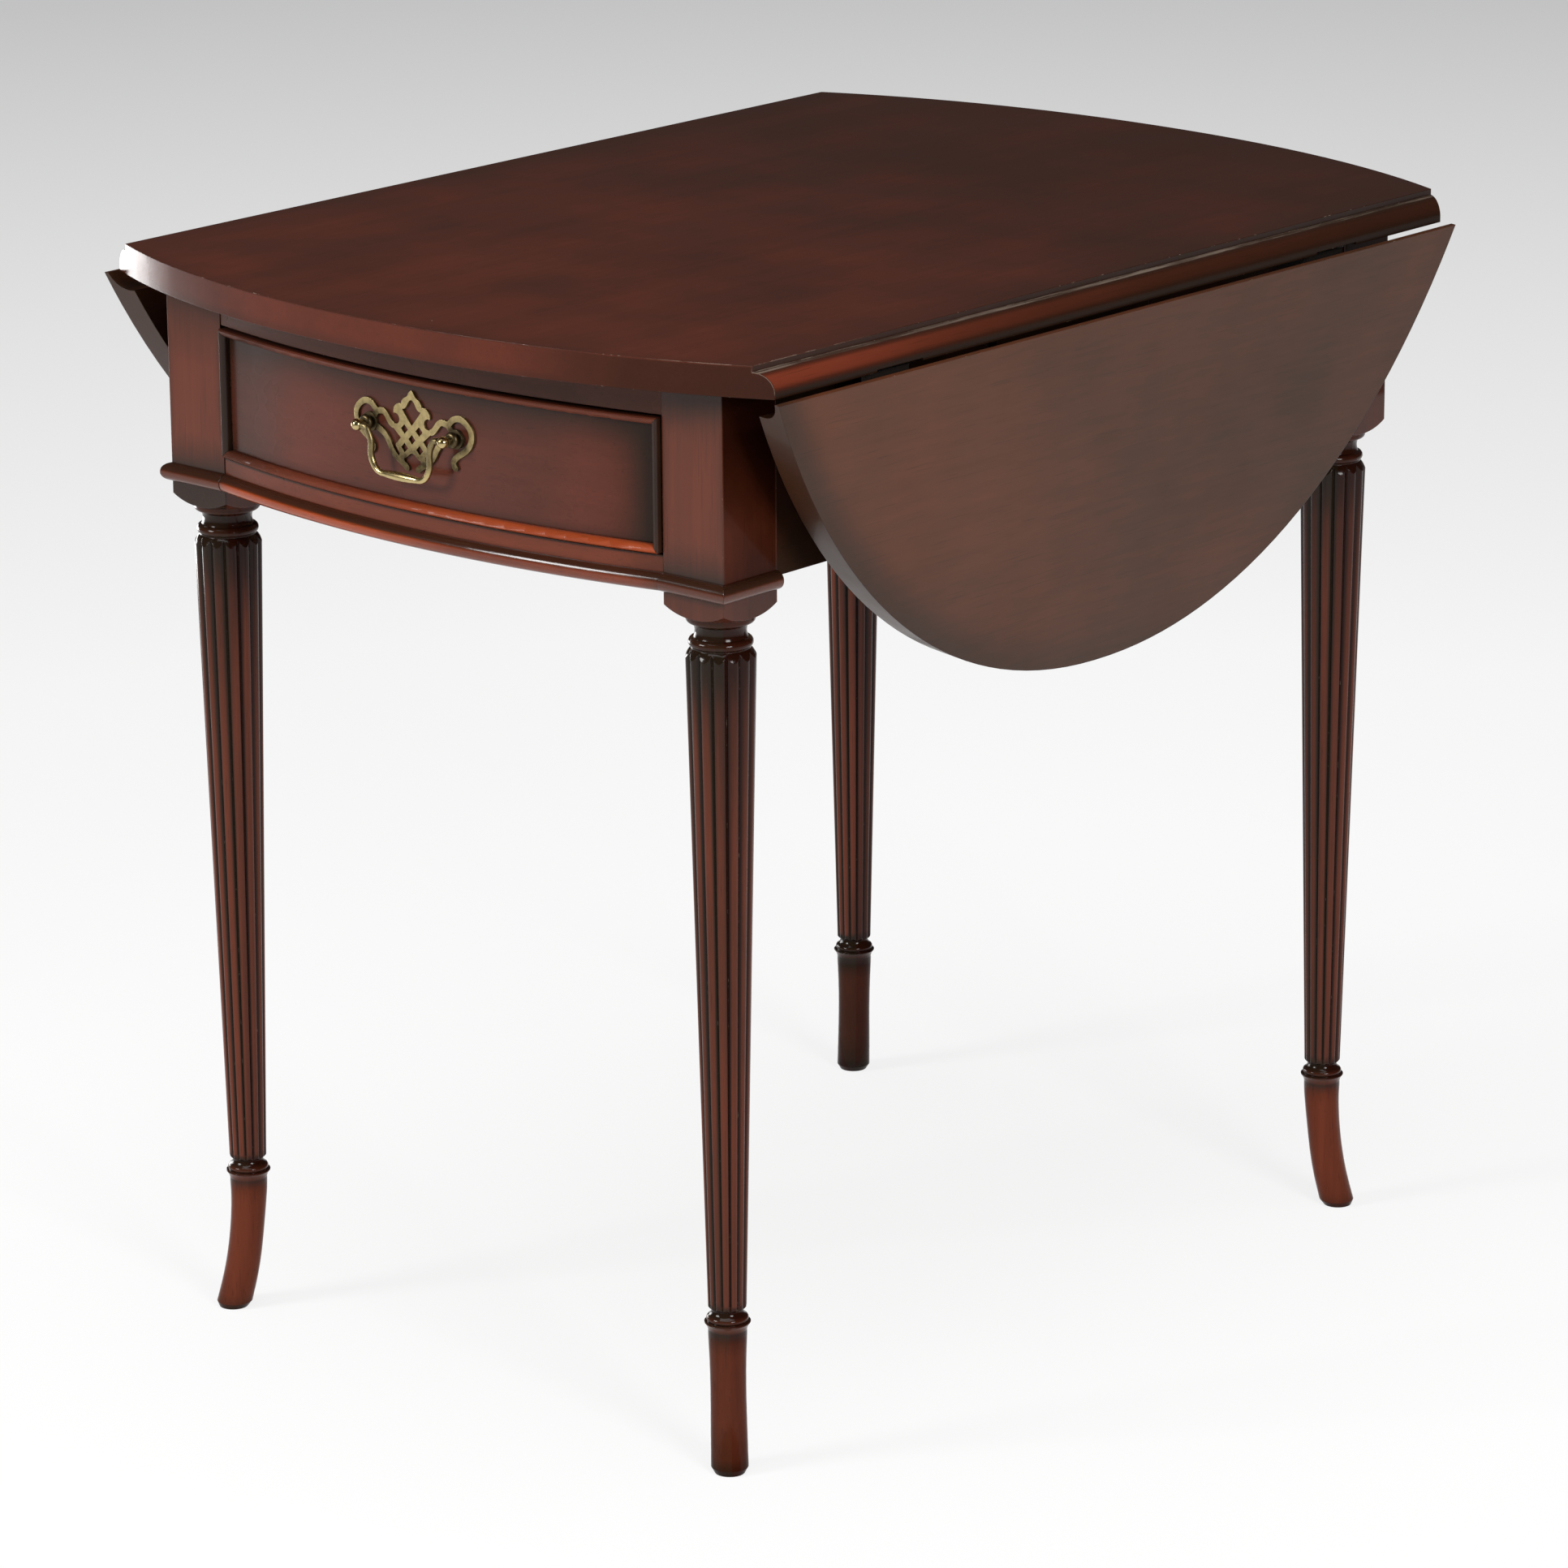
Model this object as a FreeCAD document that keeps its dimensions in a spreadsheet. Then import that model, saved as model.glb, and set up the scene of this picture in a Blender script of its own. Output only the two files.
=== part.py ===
# Pembroke table: a small oval drop-leaf table with one bow-fronted drawer. Millimetres, +Z up.
# The drawer faces -Y, the leaves hang along the +X and -X sides, and the feet stand on Z = 0.
import FreeCAD, Part
import Sketcher
import math
import os

from FreeCAD import Placement, Rotation, Vector

doc = FreeCAD.newDocument("pembroke_table")
sheet = doc.addObject("Spreadsheet::Sheet", "sizes")

# Driving dimensions
SIZES = {
    # top, leaves and rule joint
    "table_height": 660.0,
    "top_thickness": 18.1,
    "top_half_length": 361.0,
    "open_half_width": 458.0,
    "joint_half_width": 245.8,
    "ovolo_radius": 11.4,
    "ovolo_fillet": 3.6,
    "joint_gap": 0.5,
    # leg places inside the rule joint and the ends of the top, and square heads
    "leg_inset_x": 49.7,
    "leg_inset_y": 78.9,
    "block": 44.4,
    "head_drop": 146.2,
    # leg turning, drops from the top and heights from the floor
    "step_drop": 153.0,
    "ring_drop": 168.0,
    "groove_drop": 171.4,
    "reed_drop": 177.7,
    "reed_low": 100.0,
    "ankle_height": 96.0,
    "ankle_bead_height": 90.6,
    "collar_height": 88.0,
    "foot_height": 81.0,
    # leg turning, radii
    "step_radius": 19.6,
    "neck_radius": 14.6,
    "ring_radius": 18.3,
    "groove_radius": 16.9,
    "reed_high_radius": 20.05,
    "reed_low_radius": 11.25,
    "ankle_radius": 8.9,
    "ankle_bead_radius": 12.2,
    "collar_radius": 13.4,
    "foot_top_radius": 11.3,
    "foot_radius": 10.4,
    "ring_half_height": 2.75,
    "ankle_bead_half_height": 1.7,
    "collar_lip": 0.5,
    "collar_fall": 4.2,
    "step_band": 5.0,
    "toe_out": 11.4,
    "toe_round": 3.5,
    # bead along the front
    "bead_drop": 128.4,
    "bead_height": 10.8,
    "bead_projection": 5.3,
    # front rails, bowed
    "lower_rail_height": 20.4,
    "top_rail_height": 21.1,
    "rail_setback": 0.5,
    "bow_rise": 20.2,
    # side and back aprons, fly brackets
    "apron_drop": 133.6,
    "apron_thickness": 16.0,
    "back_thickness": 18.0,
    "back_setback": 4.0,
    "fly_setback": 4.3,
    "fly_thickness": 20.0,
    "fly_length": 150.0,
    "fly_pivot_y": 75.0,
    "fly_gap": 0.4,
    "fly_top_gap": 1.0,
    "fly_end_gap": 0.9,
    "fly_bevel": 8.0,
    "fly_rise": 48.0,
    "fly_rise_start": 40.0,
    "fly_pin_radius": 2.5,
    # drawer carcase
    "runner_width": 28.0,
    "runner_thickness": 12.0,
    "guide_thickness": 5.0,
    "guide_height": 22.0,
    "kicker_gap": 0.6,
    "stop_x": 60.0,
    "stop_width": 30.0,
    "stop_depth": 12.0,
    "stop_height": 6.0,
    "stop_gap": 0.4,
    # drawer
    "drawer_side_gap": 1.4,
    "drawer_top_gap": 1.6,
    "drawer_bottom_gap": 1.1,
    "panel_recess": 2.0,
    "panel_thickness": 18.0,
    "cock_bead_width": 4.4,
    "cock_bead_height": 5.5,
    "cock_bead_seat": 6.0,
    "drawer_side_thickness": 10.0,
    "drawer_side_drop": 8.0,
    "drawer_run_gap": 0.3,
    "drawer_back_drop": 6.0,
    "drawer_rear_gap": 6.0,
    "drawer_bottom_thickness": 5.5,
    "drawer_bottom_lift": 11.5,
    "drawer_groove": 4.0,
    # pull
    "pull_drop": 71.5,
    "post_half_space": 33.8,
    "plate_thickness": 1.5,
    "strap_width": 3.6,
    "diamond_half": 2.8,
    "flange_radius": 5.6,
    "flange_height": 1.2,
    "bulb_radius": 4.8,
    "bulb_reach": 3.2,
    "post_neck_radius": 2.3,
    "ball_radius": 3.5,
    "ball_reach": 10.3,
    "stem_radius": 2.0,
    "nut_radius": 4.5,
    "nut_thickness": 3.0,
    "bail_radius": 1.9,
    "bail_pin_radius": 1.5,
    "bail_bar_radius": 2.8,
    "bail_half_width": 26.5,
    "bail_drop": 25.2,
    "bail_bend": 12.0,
    "bail_bar_half": 13.0,
    # hinges and screws
    "hinge_inset": 161.0,
    "hinge_width": 38.0,
    "hinge_thickness": 2.0,
    "hinge_let_in": 1.0,
    "hinge_axis_out": 1.0,
    "hinge_inner_length": 27.0,
    "hinge_outer_length": 44.0,
    "knuckle_radius": 2.75,
    "hinge_pin_radius": 1.25,
    "hinge_relief": 0.4,
    "screw_head_radius": 3.2,
    "screw_head_height": 1.8,
    "screw_radius": 1.6,
    "hinge_screw_length": 13.0,
    "screw_spread": 12.0,
    "inner_screw_near": 9.5,
    "inner_screw_far": 20.0,
    "outer_screw_near": 22.0,
    "outer_screw_far": 36.0,
    "top_screw_radius": 2.2,
    "top_screw_head": 4.4,
    "top_screw_grip": 12.0,
    "top_screw_inset": 79.9,
    # running clearance of pins in their bores, and the overrun of cuts
    "pin_clearance": 0.05,
    "overrun": 5.0,
}

for row, (alias, number) in enumerate(SIZES.items(), start=1):
    sheet.set(f"A{row}", alias)
    sheet.set(f"B{row}", str(number))
    sheet.setAlias(f"B{row}", alias)
doc.recompute()

# Shape numbers without a length
OVAL_POWER = 2.09
LEAF_HANG_ANGLE = 96.3
REED_COUNT = 14
REED_DEPTH_SHARE = 0.12
REED_CORE_SHARE = 0.77
HEAD_WIDE_SHARE = 0.72
HEAD_CURVE_SHARES = (0.61, 0.5)
SHOULDER_SHARES = (0.62, 0.42)
COCK_BEAD_EASE_SHARE = 0.2
COCK_BEAD_FOOT_SHARE = 0.2
KNUCKLE_FINGERS = 5
FULL_TURN = 360
HALF_TURN = 180
QUARTER_TURN = 90
EIGHTH_SHARE = math.sqrt(0.5)

# Derived places, as expressions of the sheet
UNDER = "(sizes.table_height - sizes.top_thickness)"
LEG_X = "(sizes.joint_half_width - sizes.leg_inset_x)"
LEG_Y = "(sizes.top_half_length - sizes.leg_inset_y)"
BLOCK_IN_X = f"({LEG_X} - sizes.block / 2)"
BLOCK_OUT_X = f"({LEG_X} + sizes.block / 2)"
BLOCK_IN_Y = f"({LEG_Y} - sizes.block / 2)"
BLOCK_OUT_Y = f"({LEG_Y} + sizes.block / 2)"
HEAD_LOW = "(sizes.table_height - sizes.head_drop)"
STEP_HEIGHT = "(sizes.table_height - sizes.step_drop)"
RING_HEIGHT = "(sizes.table_height - sizes.ring_drop)"
GROOVE_HEIGHT = "(sizes.table_height - sizes.groove_drop)"
REED_HIGH = "(sizes.table_height - sizes.reed_drop)"
BEAD_TOP = "(sizes.table_height - sizes.bead_drop)"
APRON_LOW = "(sizes.table_height - sizes.apron_drop)"
PULL_HEIGHT = "(sizes.table_height - sizes.pull_drop)"
HINGE_Y = "(sizes.top_half_length - sizes.hinge_inset)"
TOP_SCREW_Y = f"({BLOCK_IN_Y} - sizes.top_screw_inset)"
FLY_OUT = f"({BLOCK_OUT_X} - sizes.fly_setback)"
APRON_OUT = f"({FLY_OUT} - sizes.fly_thickness)"
APRON_IN = f"({APRON_OUT} - sizes.apron_thickness)"
BACK_OUT = f"({BLOCK_OUT_Y} - sizes.back_setback)"
BACK_IN = f"({BACK_OUT} - sizes.back_thickness)"
RAIL_LOW = f"({BEAD_TOP} - sizes.bead_height)"
OPENING_LOW = f"({RAIL_LOW} + sizes.lower_rail_height)"
OPENING_HIGH = f"({UNDER} - sizes.top_rail_height)"
RAIL_FRONT = f"({BLOCK_OUT_Y} - sizes.rail_setback)"
BOW_RADIUS = f"(({BLOCK_IN_X} * {BLOCK_IN_X} + sizes.bow_rise * sizes.bow_rise) / (2 * sizes.bow_rise))"
BOW_CENTRE = f"({BOW_RADIUS} - {RAIL_FRONT} - sizes.bow_rise)"
DRAWER_HALF = f"({BLOCK_IN_X} - sizes.drawer_side_gap)"
DRAWER_LOW = f"({OPENING_LOW} + sizes.drawer_bottom_gap)"
DRAWER_HIGH = f"({OPENING_HIGH} - sizes.drawer_top_gap)"
SIDE_LOW = f"({OPENING_LOW} + sizes.drawer_run_gap)"
SIDE_HIGH = f"({DRAWER_HIGH} - sizes.drawer_side_drop)"
SIDE_IN = f"({DRAWER_HALF} - sizes.drawer_side_thickness)"
DRAWER_REAR = f"({BACK_IN} - sizes.drawer_rear_gap)"
PANEL_RADIUS = f"({BOW_RADIUS} - sizes.panel_recess)"
PANEL_BACK_RADIUS = f"({PANEL_RADIUS} - sizes.panel_thickness)"
TRAY_LOW = f"({DRAWER_LOW} + sizes.drawer_bottom_lift)"
TRAY_HIGH = f"({TRAY_LOW} + sizes.drawer_bottom_thickness)"
KICKER_LOW = f"({SIDE_HIGH} + sizes.kicker_gap)"
HINGE_AXIS_X = "(sizes.joint_half_width + sizes.hinge_axis_out)"
HINGE_AXIS_Z = f"({UNDER} + sizes.hinge_let_in - sizes.hinge_thickness / 2)"
FLY_AXIS_X = f"({FLY_OUT} - sizes.fly_thickness / 2)"
OVOLO_Z = "(sizes.table_height - sizes.ovolo_fillet - sizes.ovolo_radius)"

NODES = []


def size(alias):
    return float(sheet.get(alias))


def value(expression):
    return float(sheet.evalExpression(expression))


def node(obj, label):
    obj.Label = label
    NODES.append(obj)
    return obj


def feature(label, shape, placement=None):
    """A piece whose shape is made by a function below."""
    obj = doc.addObject("Part::Feature", label)
    obj.Shape = shape
    if placement is not None:
        obj.Placement = placement
    return node(obj, label)


def board(label, low, high):
    """A straight board between two corners, each given as three expressions."""
    obj = doc.addObject("Part::Box", label)
    for axis, span, start, end in zip("xyz", ("Length", "Width", "Height"), low, high):
        obj.setExpression(f"Placement.Base.{axis}", start)
        obj.setExpression(span, f"{end} - ({start})")
    return node(obj, label)


def bowed_board(label, low, high):
    """A rail with a straight back and a bowed front, padded from a sketch of its plan."""
    body = doc.addObject("PartDesign::Body", label)
    sketch = body.newObject("Sketcher::SketchObject", f"{label}_plan")
    plane = next(item for item in body.Origin.OriginFeatures if item.Role == "XY_Plane")
    sketch.AttachmentSupport = [(plane, "")]
    sketch.MapMode = "FlatFace"
    half = value(BLOCK_IN_X)
    depth = value(f"{RAIL_FRONT} - {BLOCK_IN_Y}")
    back_right, back_left = Vector(half, 0, 0), Vector(-half, 0, 0)
    front_left, front_right = Vector(-half, -depth, 0), Vector(half, -depth, 0)
    front_middle = Vector(0, -depth - size("bow_rise"), 0)
    sketch.addGeometry(Part.LineSegment(back_right, back_left))
    sketch.addGeometry(Part.LineSegment(back_left, front_left))
    sketch.addGeometry(Part.LineSegment(front_right, back_right))
    sketch.addGeometry(Part.Arc(front_left, front_middle, front_right))
    back, left, right, front = range(4)
    start, end, origin, x_axis, y_axis = 1, 2, -1, -1, -2
    for rule in (
        ("Coincident", back, end, left, start),
        ("Coincident", left, end, front, start),
        ("Coincident", front, end, right, start),
        ("Coincident", right, end, back, start),
        ("Vertical", left),
        ("Vertical", right),
        ("PointOnObject", back, start, x_axis),
        ("Symmetric", back, start, back, end, y_axis),
        ("Horizontal", left, end, right, start),
    ):
        sketch.addConstraint(Sketcher.Constraint(*rule))
    for name, expression, rule in (
        ("span", f"2 * {BLOCK_IN_X}", ("DistanceX", back, end, back, start, 2 * half)),
        ("depth", f"{RAIL_FRONT} - {BLOCK_IN_Y}", ("DistanceY", left, end, left, start, depth)),
        ("bow", BOW_RADIUS, ("Radius", front, value(BOW_RADIUS))),
    ):
        place = sketch.addConstraint(Sketcher.Constraint(*rule))
        sketch.renameConstraint(place, name)
        sketch.setExpression(f"Constraints.{name}", expression)
    pad = body.newObject("PartDesign::Pad", f"{label}_pad")
    pad.Profile = sketch
    pad.setExpression("Length", f"{high} - {low}")
    body.setExpression("Placement.Base.y", f"-{BLOCK_IN_Y}")
    body.setExpression("Placement.Base.z", low)
    return node(body, label)


def lathe(start, steps):
    """Solid of revolution about Z. A step of two numbers is a line to (radius, height), one of four
    is an arc through a first such point to a second."""
    here = Vector(start[0], 0, start[1])
    first = here
    edges = []
    for step in steps:
        end = Vector(step[-2], 0, step[-1])
        if len(step) == 4:
            edges.append(Part.Arc(here, Vector(step[0], 0, step[1]), end).toShape())
        else:
            edges.append(Part.makeLine(here, end))
        here = end
    edges.append(Part.makeLine(here, first))
    return Part.Face(Part.Wire(edges)).revolve(Vector(), Vector(0, 0, 1), FULL_TURN)


def box_between(low, high):
    low, high = Vector(*low), Vector(*high)
    span = high - low
    return Part.makeBox(span.x, span.y, span.z, low)


def prism(points, direction):
    """A polygon, pushed along a direction."""
    corners = [Vector(*point) for point in points]
    return Part.Face(Part.makePolygon(corners + corners[:1])).extrude(Vector(*direction))


def bow_cylinder(radius, low, high):
    """A cylinder about the bow's upright axis, between two heights."""
    return Part.makeCylinder(radius, high - low, Vector(0, value(BOW_CENTRE), low))


def bow_y(x, radius):
    """Where a bow of this radius lies at a place along the front."""
    return value(BOW_CENTRE) - math.sqrt(radius * radius - x * x)


def between_sides(shape, half):
    """The part of a bowed shape between two upright planes, on the drawer's side of the table."""
    box = shape.BoundBox
    spare = size("overrun")
    low = (-half, box.YMin - spare, box.ZMin - spare)
    high = (half, -value(LEG_Y) / 2, box.ZMax + spare)
    return shape.common(box_between(low, high))


# Legs

def reed_cone(low, high):
    """One reed, on the -X side: a slim cone that leans with the taper. Each end is a crest radius and
    a height."""
    half = math.pi / REED_COUNT
    groove = 1 - REED_DEPTH_SHARE
    rise, across = 1 - groove * math.cos(half), groove * math.sin(half)
    round_share = (rise * rise + across * across) / (2 * rise)
    feet = [Vector(-crest * (1 - round_share), 0, height) for crest, height in (low, high)]
    along = feet[1] - feet[0]
    return Part.makeCone(low[0] * round_share, high[0] * round_share, along.Length, feet[0], along)


def leg_head():
    """Square head, rounded below into the turned step."""
    half, low, step = size("block") / 2, value(STEP_HEIGHT), size("step_radius")
    wide, square = size("block") * HEAD_WIDE_SHARE, value(HEAD_LOW)
    out_share, fall_share = HEAD_CURVE_SHARES
    middle = (step + (wide - step) * out_share, square - (square - low) * fall_share)
    top = value(UNDER)
    turned = lathe((0, low), [(step, low), (*middle, wide, square), (wide, top), (0, top)])
    return turned.common(box_between((-half, -half, low), (half, half, top)))


def leg_neck():
    """Groove, ring, hollow neck and step under the head."""
    low, ring, step = value(GROOVE_HEIGHT), value(RING_HEIGHT), value(STEP_HEIGHT)
    rise, band = size("ring_half_height"), size("step_band")
    groove, neck, wide = size("groove_radius"), size("neck_radius"), size("step_radius")
    edge = neck + (wide - neck) / 6
    return lathe((0, low), [
        (groove, low),
        (groove, ring - rise),
        (size("ring_radius"), ring, edge, ring + rise),
        (neck, (ring + rise + step - band) / 2, edge, step - band),
        (wide - band * 2 / 5, step - band * 3 / 4),
        (wide - band / 12, step - band * 4 / 7, wide, step - band / 3),
        (wide, step),
        (0, step),
    ])


def leg_shaft():
    """Tapered reeded shaft with rounded ends."""
    low, high = size("ankle_height"), value(GROOVE_HEIGHT)
    reed_low, reed_high = size("reed_low"), value(REED_HIGH)
    thin, thick = size("reed_low_radius"), size("reed_high_radius")
    taper = (thick - thin) / (reed_high - reed_low)
    ends = []
    for height in (low - size("overrun"), high + size("overrun")):
        ends.append((thin + taper * (height - reed_low), height))
    (core_low, bottom), (core_high, top) = ends
    wide = core_low * REED_CORE_SHARE, core_high * REED_CORE_SHARE
    core = Part.makeCone(*wide, top - bottom, Vector(0, 0, bottom))
    reed = reed_cone(*ends)
    turns = [FULL_TURN * (place + 1 / 2) / REED_COUNT for place in range(REED_COUNT)]
    reeds = core.multiFuse([reed.rotated(Vector(), Vector(0, 0, 1), turn) for turn in turns])
    soft_low, soft_high = reed_low + thin / 8, reed_high - thick / 20
    wide_low = thin + taper * (soft_low - reed_low) + size("joint_gap")
    wide_high = thick - taper * (reed_high - soft_high) + size("joint_gap")
    ankle, groove = size("ankle_radius"), size("groove_radius")
    bulge_low = (ankle + (wide_low - ankle) * EIGHTH_SHARE, low + (soft_low - low) * (1 - EIGHTH_SHARE))
    out_share, fall_share = SHOULDER_SHARES
    bulge_high = (groove + (wide_high - groove) * out_share, high - (high - soft_high) * fall_share)
    blank = lathe((0, low), [
        (ankle, low),
        (*bulge_low, wide_low, soft_low),
        (wide_high, soft_high),
        (*bulge_high, groove, high),
        (0, high),
    ])
    return reeds.common(blank)


def leg_ankle():
    """Ankle hollow, bead, sharp collar and the top of the foot."""
    low, collar, high = size("foot_height"), size("collar_height"), size("ankle_height")
    foot, wide, ankle = size("foot_top_radius"), size("collar_radius"), size("ankle_radius")
    bead, rise, full = size("ankle_bead_height"), size("ankle_bead_half_height"), size("ankle_bead_radius")
    waist = full - rise / 2
    fall = collar - size("collar_fall")
    cove = (foot + (wide - foot) / 3, (fall + collar) / 2)
    hollow = (ankle + (waist - ankle) / 4, (bead + rise + high) / 2)
    return lathe((0, low), [
        (foot, low),
        (foot, fall),
        (*cove, wide, collar),
        (wide, collar + size("collar_lip")),
        (waist, bead - rise),
        (full, bead, waist, bead + rise),
        (*hollow, ankle, high),
        (0, high),
    ])


# How the foot runs down below the collar: height, outward lean and radius as shares
FOOT_SHARES = (
    (0.8, 0.05, 1.025),
    (0.6, 0.18, 1.0),
    (0.4, 0.37, 1.01),
    (0.2, 0.655, 1.03),
)
# Lean and radius at the top of the rounded sole, and the radius left under it
SOLE_SHARES = (0.94, 1.045, 0.85)


def foot_ring(height, lean, radius):
    out = lean * EIGHTH_SHARE
    return Part.Wire(Part.makeCircle(radius, Vector(out, out, height), Vector(0, 0, 1)))


def leg_foot():
    """Foot that curves outward, with a rounded sole."""
    tall, out, radius = size("foot_height"), size("toe_out"), size("foot_radius")
    rings = [foot_ring(tall, 0, size("foot_top_radius"))]
    for height, lean, wide in FOOT_SHARES:
        rings.append(foot_ring(height * tall, lean * out, wide * radius))
    lean, wide, under = SOLE_SHARES
    edge = foot_ring(size("toe_round"), lean * out, wide * radius)
    foot = Part.makeLoft([*rings, edge], True, False)
    toe = Part.makeLoft([edge, foot_ring(0, out, under * radius)], True, True)
    return foot.fuse(toe)


def build_legs():
    """One leg shape, turned so that each foot points out at its own corner."""
    shape = leg_head().multiFuse([leg_neck(), leg_shaft(), leg_ankle(), leg_foot()])
    corners = {
        "leg_rear_right": (1, 1, 0),
        "leg_rear_left": (-1, 1, 1),
        "leg_front_left": (-1, -1, 2),
        "leg_front_right": (1, -1, 3),
    }
    for label, (x, y, turns) in corners.items():
        spot = Vector(x * value(LEG_X), y * value(LEG_Y), 0)
        feature(label, shape, Placement(spot, Rotation(Vector(0, 0, 1), turns * QUARTER_TURN)))


# Bead mouldings

def bead_section(place):
    """Half-round section; place(out, height) puts a point of it in space."""
    low, high = value(RAIL_LOW), value(BEAD_TOP)
    ends = place(0, low), place(0, high)
    arc = Part.Arc(ends[0], place(size("bead_projection"), (low + high) / 2), ends[1]).toShape()
    return Part.Face(Part.Wire([arc, Part.makeLine(ends[1], ends[0])]))


def leg_bead():
    """Two mitred strips round the front and the outer side of the right front leg's head."""
    left, right = value(BLOCK_IN_X), value(BLOCK_OUT_X)
    front, rear = -value(BLOCK_OUT_Y), -value(BLOCK_IN_Y)
    reach = size("bead_projection") + size("overrun")
    low, tall = value(RAIL_LOW), (0, 0, size("bead_height"))
    across = bead_section(lambda out, height: Vector(left, front - out, height))
    along = bead_section(lambda out, height: Vector(right + out, rear, height))
    front_mitre = [(left, front, low), (right, front, low), (right + reach, front - reach, low),
                   (left, front - reach, low)]
    side_mitre = [(right, rear, low), (right, front, low), (right + reach, front - reach, low),
                  (right + reach, rear, low)]
    front_strip = across.extrude(Vector(size("block") + reach, 0, 0)).common(prism(front_mitre, tall))
    side_strip = along.extrude(Vector(0, -size("block") - reach, 0)).common(prism(side_mitre, tall))
    return Part.makeCompound([front_strip, side_strip])


def swept_about_bow(face):
    """Turn a section that lies in the plane X = 0 about the bow's axis, past both ends of the front."""
    axis = Vector(0, value(BOW_CENTRE), 0)
    reach = math.degrees(math.asin(value(BLOCK_IN_X) / value(BOW_RADIUS))) * 3 / 2
    face.rotate(axis, Vector(0, 0, 1), -reach)
    return face.revolve(axis, Vector(0, 0, 1), 2 * reach)


def build_beads():
    right = leg_bead()
    feature("leg_bead_front_right", right)
    feature("leg_bead_front_left", right.mirror(Vector(), Vector(1, 0, 0)))
    front = -value(RAIL_FRONT) - size("bow_rise")
    section = bead_section(lambda out, height: Vector(0, front - out, height))
    feature("front_rail_bead", between_sides(swept_about_bow(section), value(BLOCK_IN_X)))


# Rails, aprons and the drawer's carcase

def mirrored_boards(name, low, high):
    """The same board on the right and, mirrored in X, on the left."""
    board(f"{name}_right", low, high)
    board(f"{name}_left", (f"-{high[0]}", *low[1:]), (f"-{low[0]}", *high[1:]))


def build_carcase():
    bowed_board("front_top_rail", OPENING_HIGH, UNDER)
    bowed_board("front_lower_rail", RAIL_LOW, OPENING_LOW)
    ends = f"-{BLOCK_IN_Y}", BLOCK_IN_Y
    low = APRON_LOW
    mirrored_boards("side_apron", (APRON_IN, ends[0], low), (APRON_OUT, ends[1], UNDER))
    board("back_apron", (f"-{BLOCK_IN_X}", BACK_IN, low), (BLOCK_IN_X, BACK_OUT, UNDER))
    inner = f"({APRON_IN} - sizes.runner_width)"
    runner_low = f"({OPENING_LOW} - sizes.runner_thickness)"
    mirrored_boards("drawer_runner", (inner, ends[0], runner_low), (APRON_IN, ends[1], OPENING_LOW))
    guide_in = f"({APRON_IN} - sizes.guide_thickness)"
    guide_top = f"({OPENING_LOW} + sizes.guide_height)"
    mirrored_boards("drawer_guide", (guide_in, ends[0], OPENING_LOW), (APRON_IN, ends[1], guide_top))
    build_stops()


def build_stops():
    """Two small blocks on the lower rail that stop the drawer front."""
    low = value(OPENING_LOW)
    half = size("stop_width") / 2
    near = bow_y(size("stop_x") + half, value(PANEL_BACK_RADIUS)) + size("stop_gap")
    blocks = []
    for side in (-1, 1):
        middle = side * size("stop_x")
        corner = (middle - half, near, low)
        far = (middle + half, near + size("stop_depth"), low + size("stop_height"))
        blocks.append(box_between(corner, far))
    feature("drawer_stops", Part.makeCompound(blocks))


def screw(length, head, shank, seat):
    """Countersunk screw pointing up, its head flush with Z = 0."""
    return lathe((0, 0), [(head, 0), (shank, seat), (shank, length), (0, length)])


def top_screws():
    """Screws that go up through the kickers into the top."""
    low = value(KICKER_LOW)
    length = value(UNDER) - low + size("top_screw_grip")
    head, shank = size("top_screw_head"), size("top_screw_radius")
    one = screw(length, head, shank, head - shank)
    x = value(APRON_IN) - size("runner_width") / 2
    places = [Vector(side * x, step * value(TOP_SCREW_Y), low) for side in (-1, 1) for step in (-1, 0, 1)]
    return Part.makeCompound([one.translated(place) for place in places])


def build_kickers(screws):
    """Strips that keep the drawer sides from tipping, and that the top is screwed to."""
    x_low, x_high = value(APRON_IN) - size("runner_width"), value(APRON_IN)
    y = value(BLOCK_IN_Y)
    right = box_between((x_low, -y, value(KICKER_LOW)), (x_high, y, value(UNDER)))
    left = right.mirror(Vector(), Vector(1, 0, 0))
    feature("kicker_right", right.cut(screws))
    feature("kicker_left", left.cut(screws))
    feature("top_screws", screws)


# Fly brackets

def finger_slabs(first):
    """Every other level of the wooden knuckle, from the given one up, as wide slabs about its axis."""
    low, high = value(APRON_LOW), value(UNDER)
    tall = (high - low) / KNUCKLE_FINGERS
    reach = size("fly_thickness")
    axis = value(FLY_AXIS_X), -size("fly_pivot_y")
    slabs = []
    for level in range(first, KNUCKLE_FINGERS, 2):
        floor = low + level * tall
        corner = (axis[0] - reach, axis[1] - reach, floor)
        slabs.append(box_between(corner, (axis[0] + reach, axis[1] + reach, floor + tall)))
    return slabs


def knuckle(board_shape, own, other, away):
    """Give a rail its fingers about the pin's axis and cut it back where the other rail's fingers turn."""
    x, y = value(FLY_AXIS_X), -size("fly_pivot_y")
    gap = size("fly_gap")
    radius = size("fly_thickness") / 2 - gap
    low, high = value(APRON_LOW), value(UNDER)
    barrel = Part.makeCylinder(radius, high - low, Vector(x, y, low))
    fingers = [barrel.common(slab) for slab in own]
    shape = board_shape.multiFuse(fingers)
    back = size("fly_thickness") / 2 + gap
    wide = size("fly_thickness")
    for slab in other:
        box = slab.BoundBox
        near, far = sorted((y - away * wide, y + away * back))
        low_corner = (x - wide, near, box.ZMin - gap / 2)
        shape = shape.cut(box_between(low_corner, (x + wide, far, box.ZMax + gap / 2)))
    return shape


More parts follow.
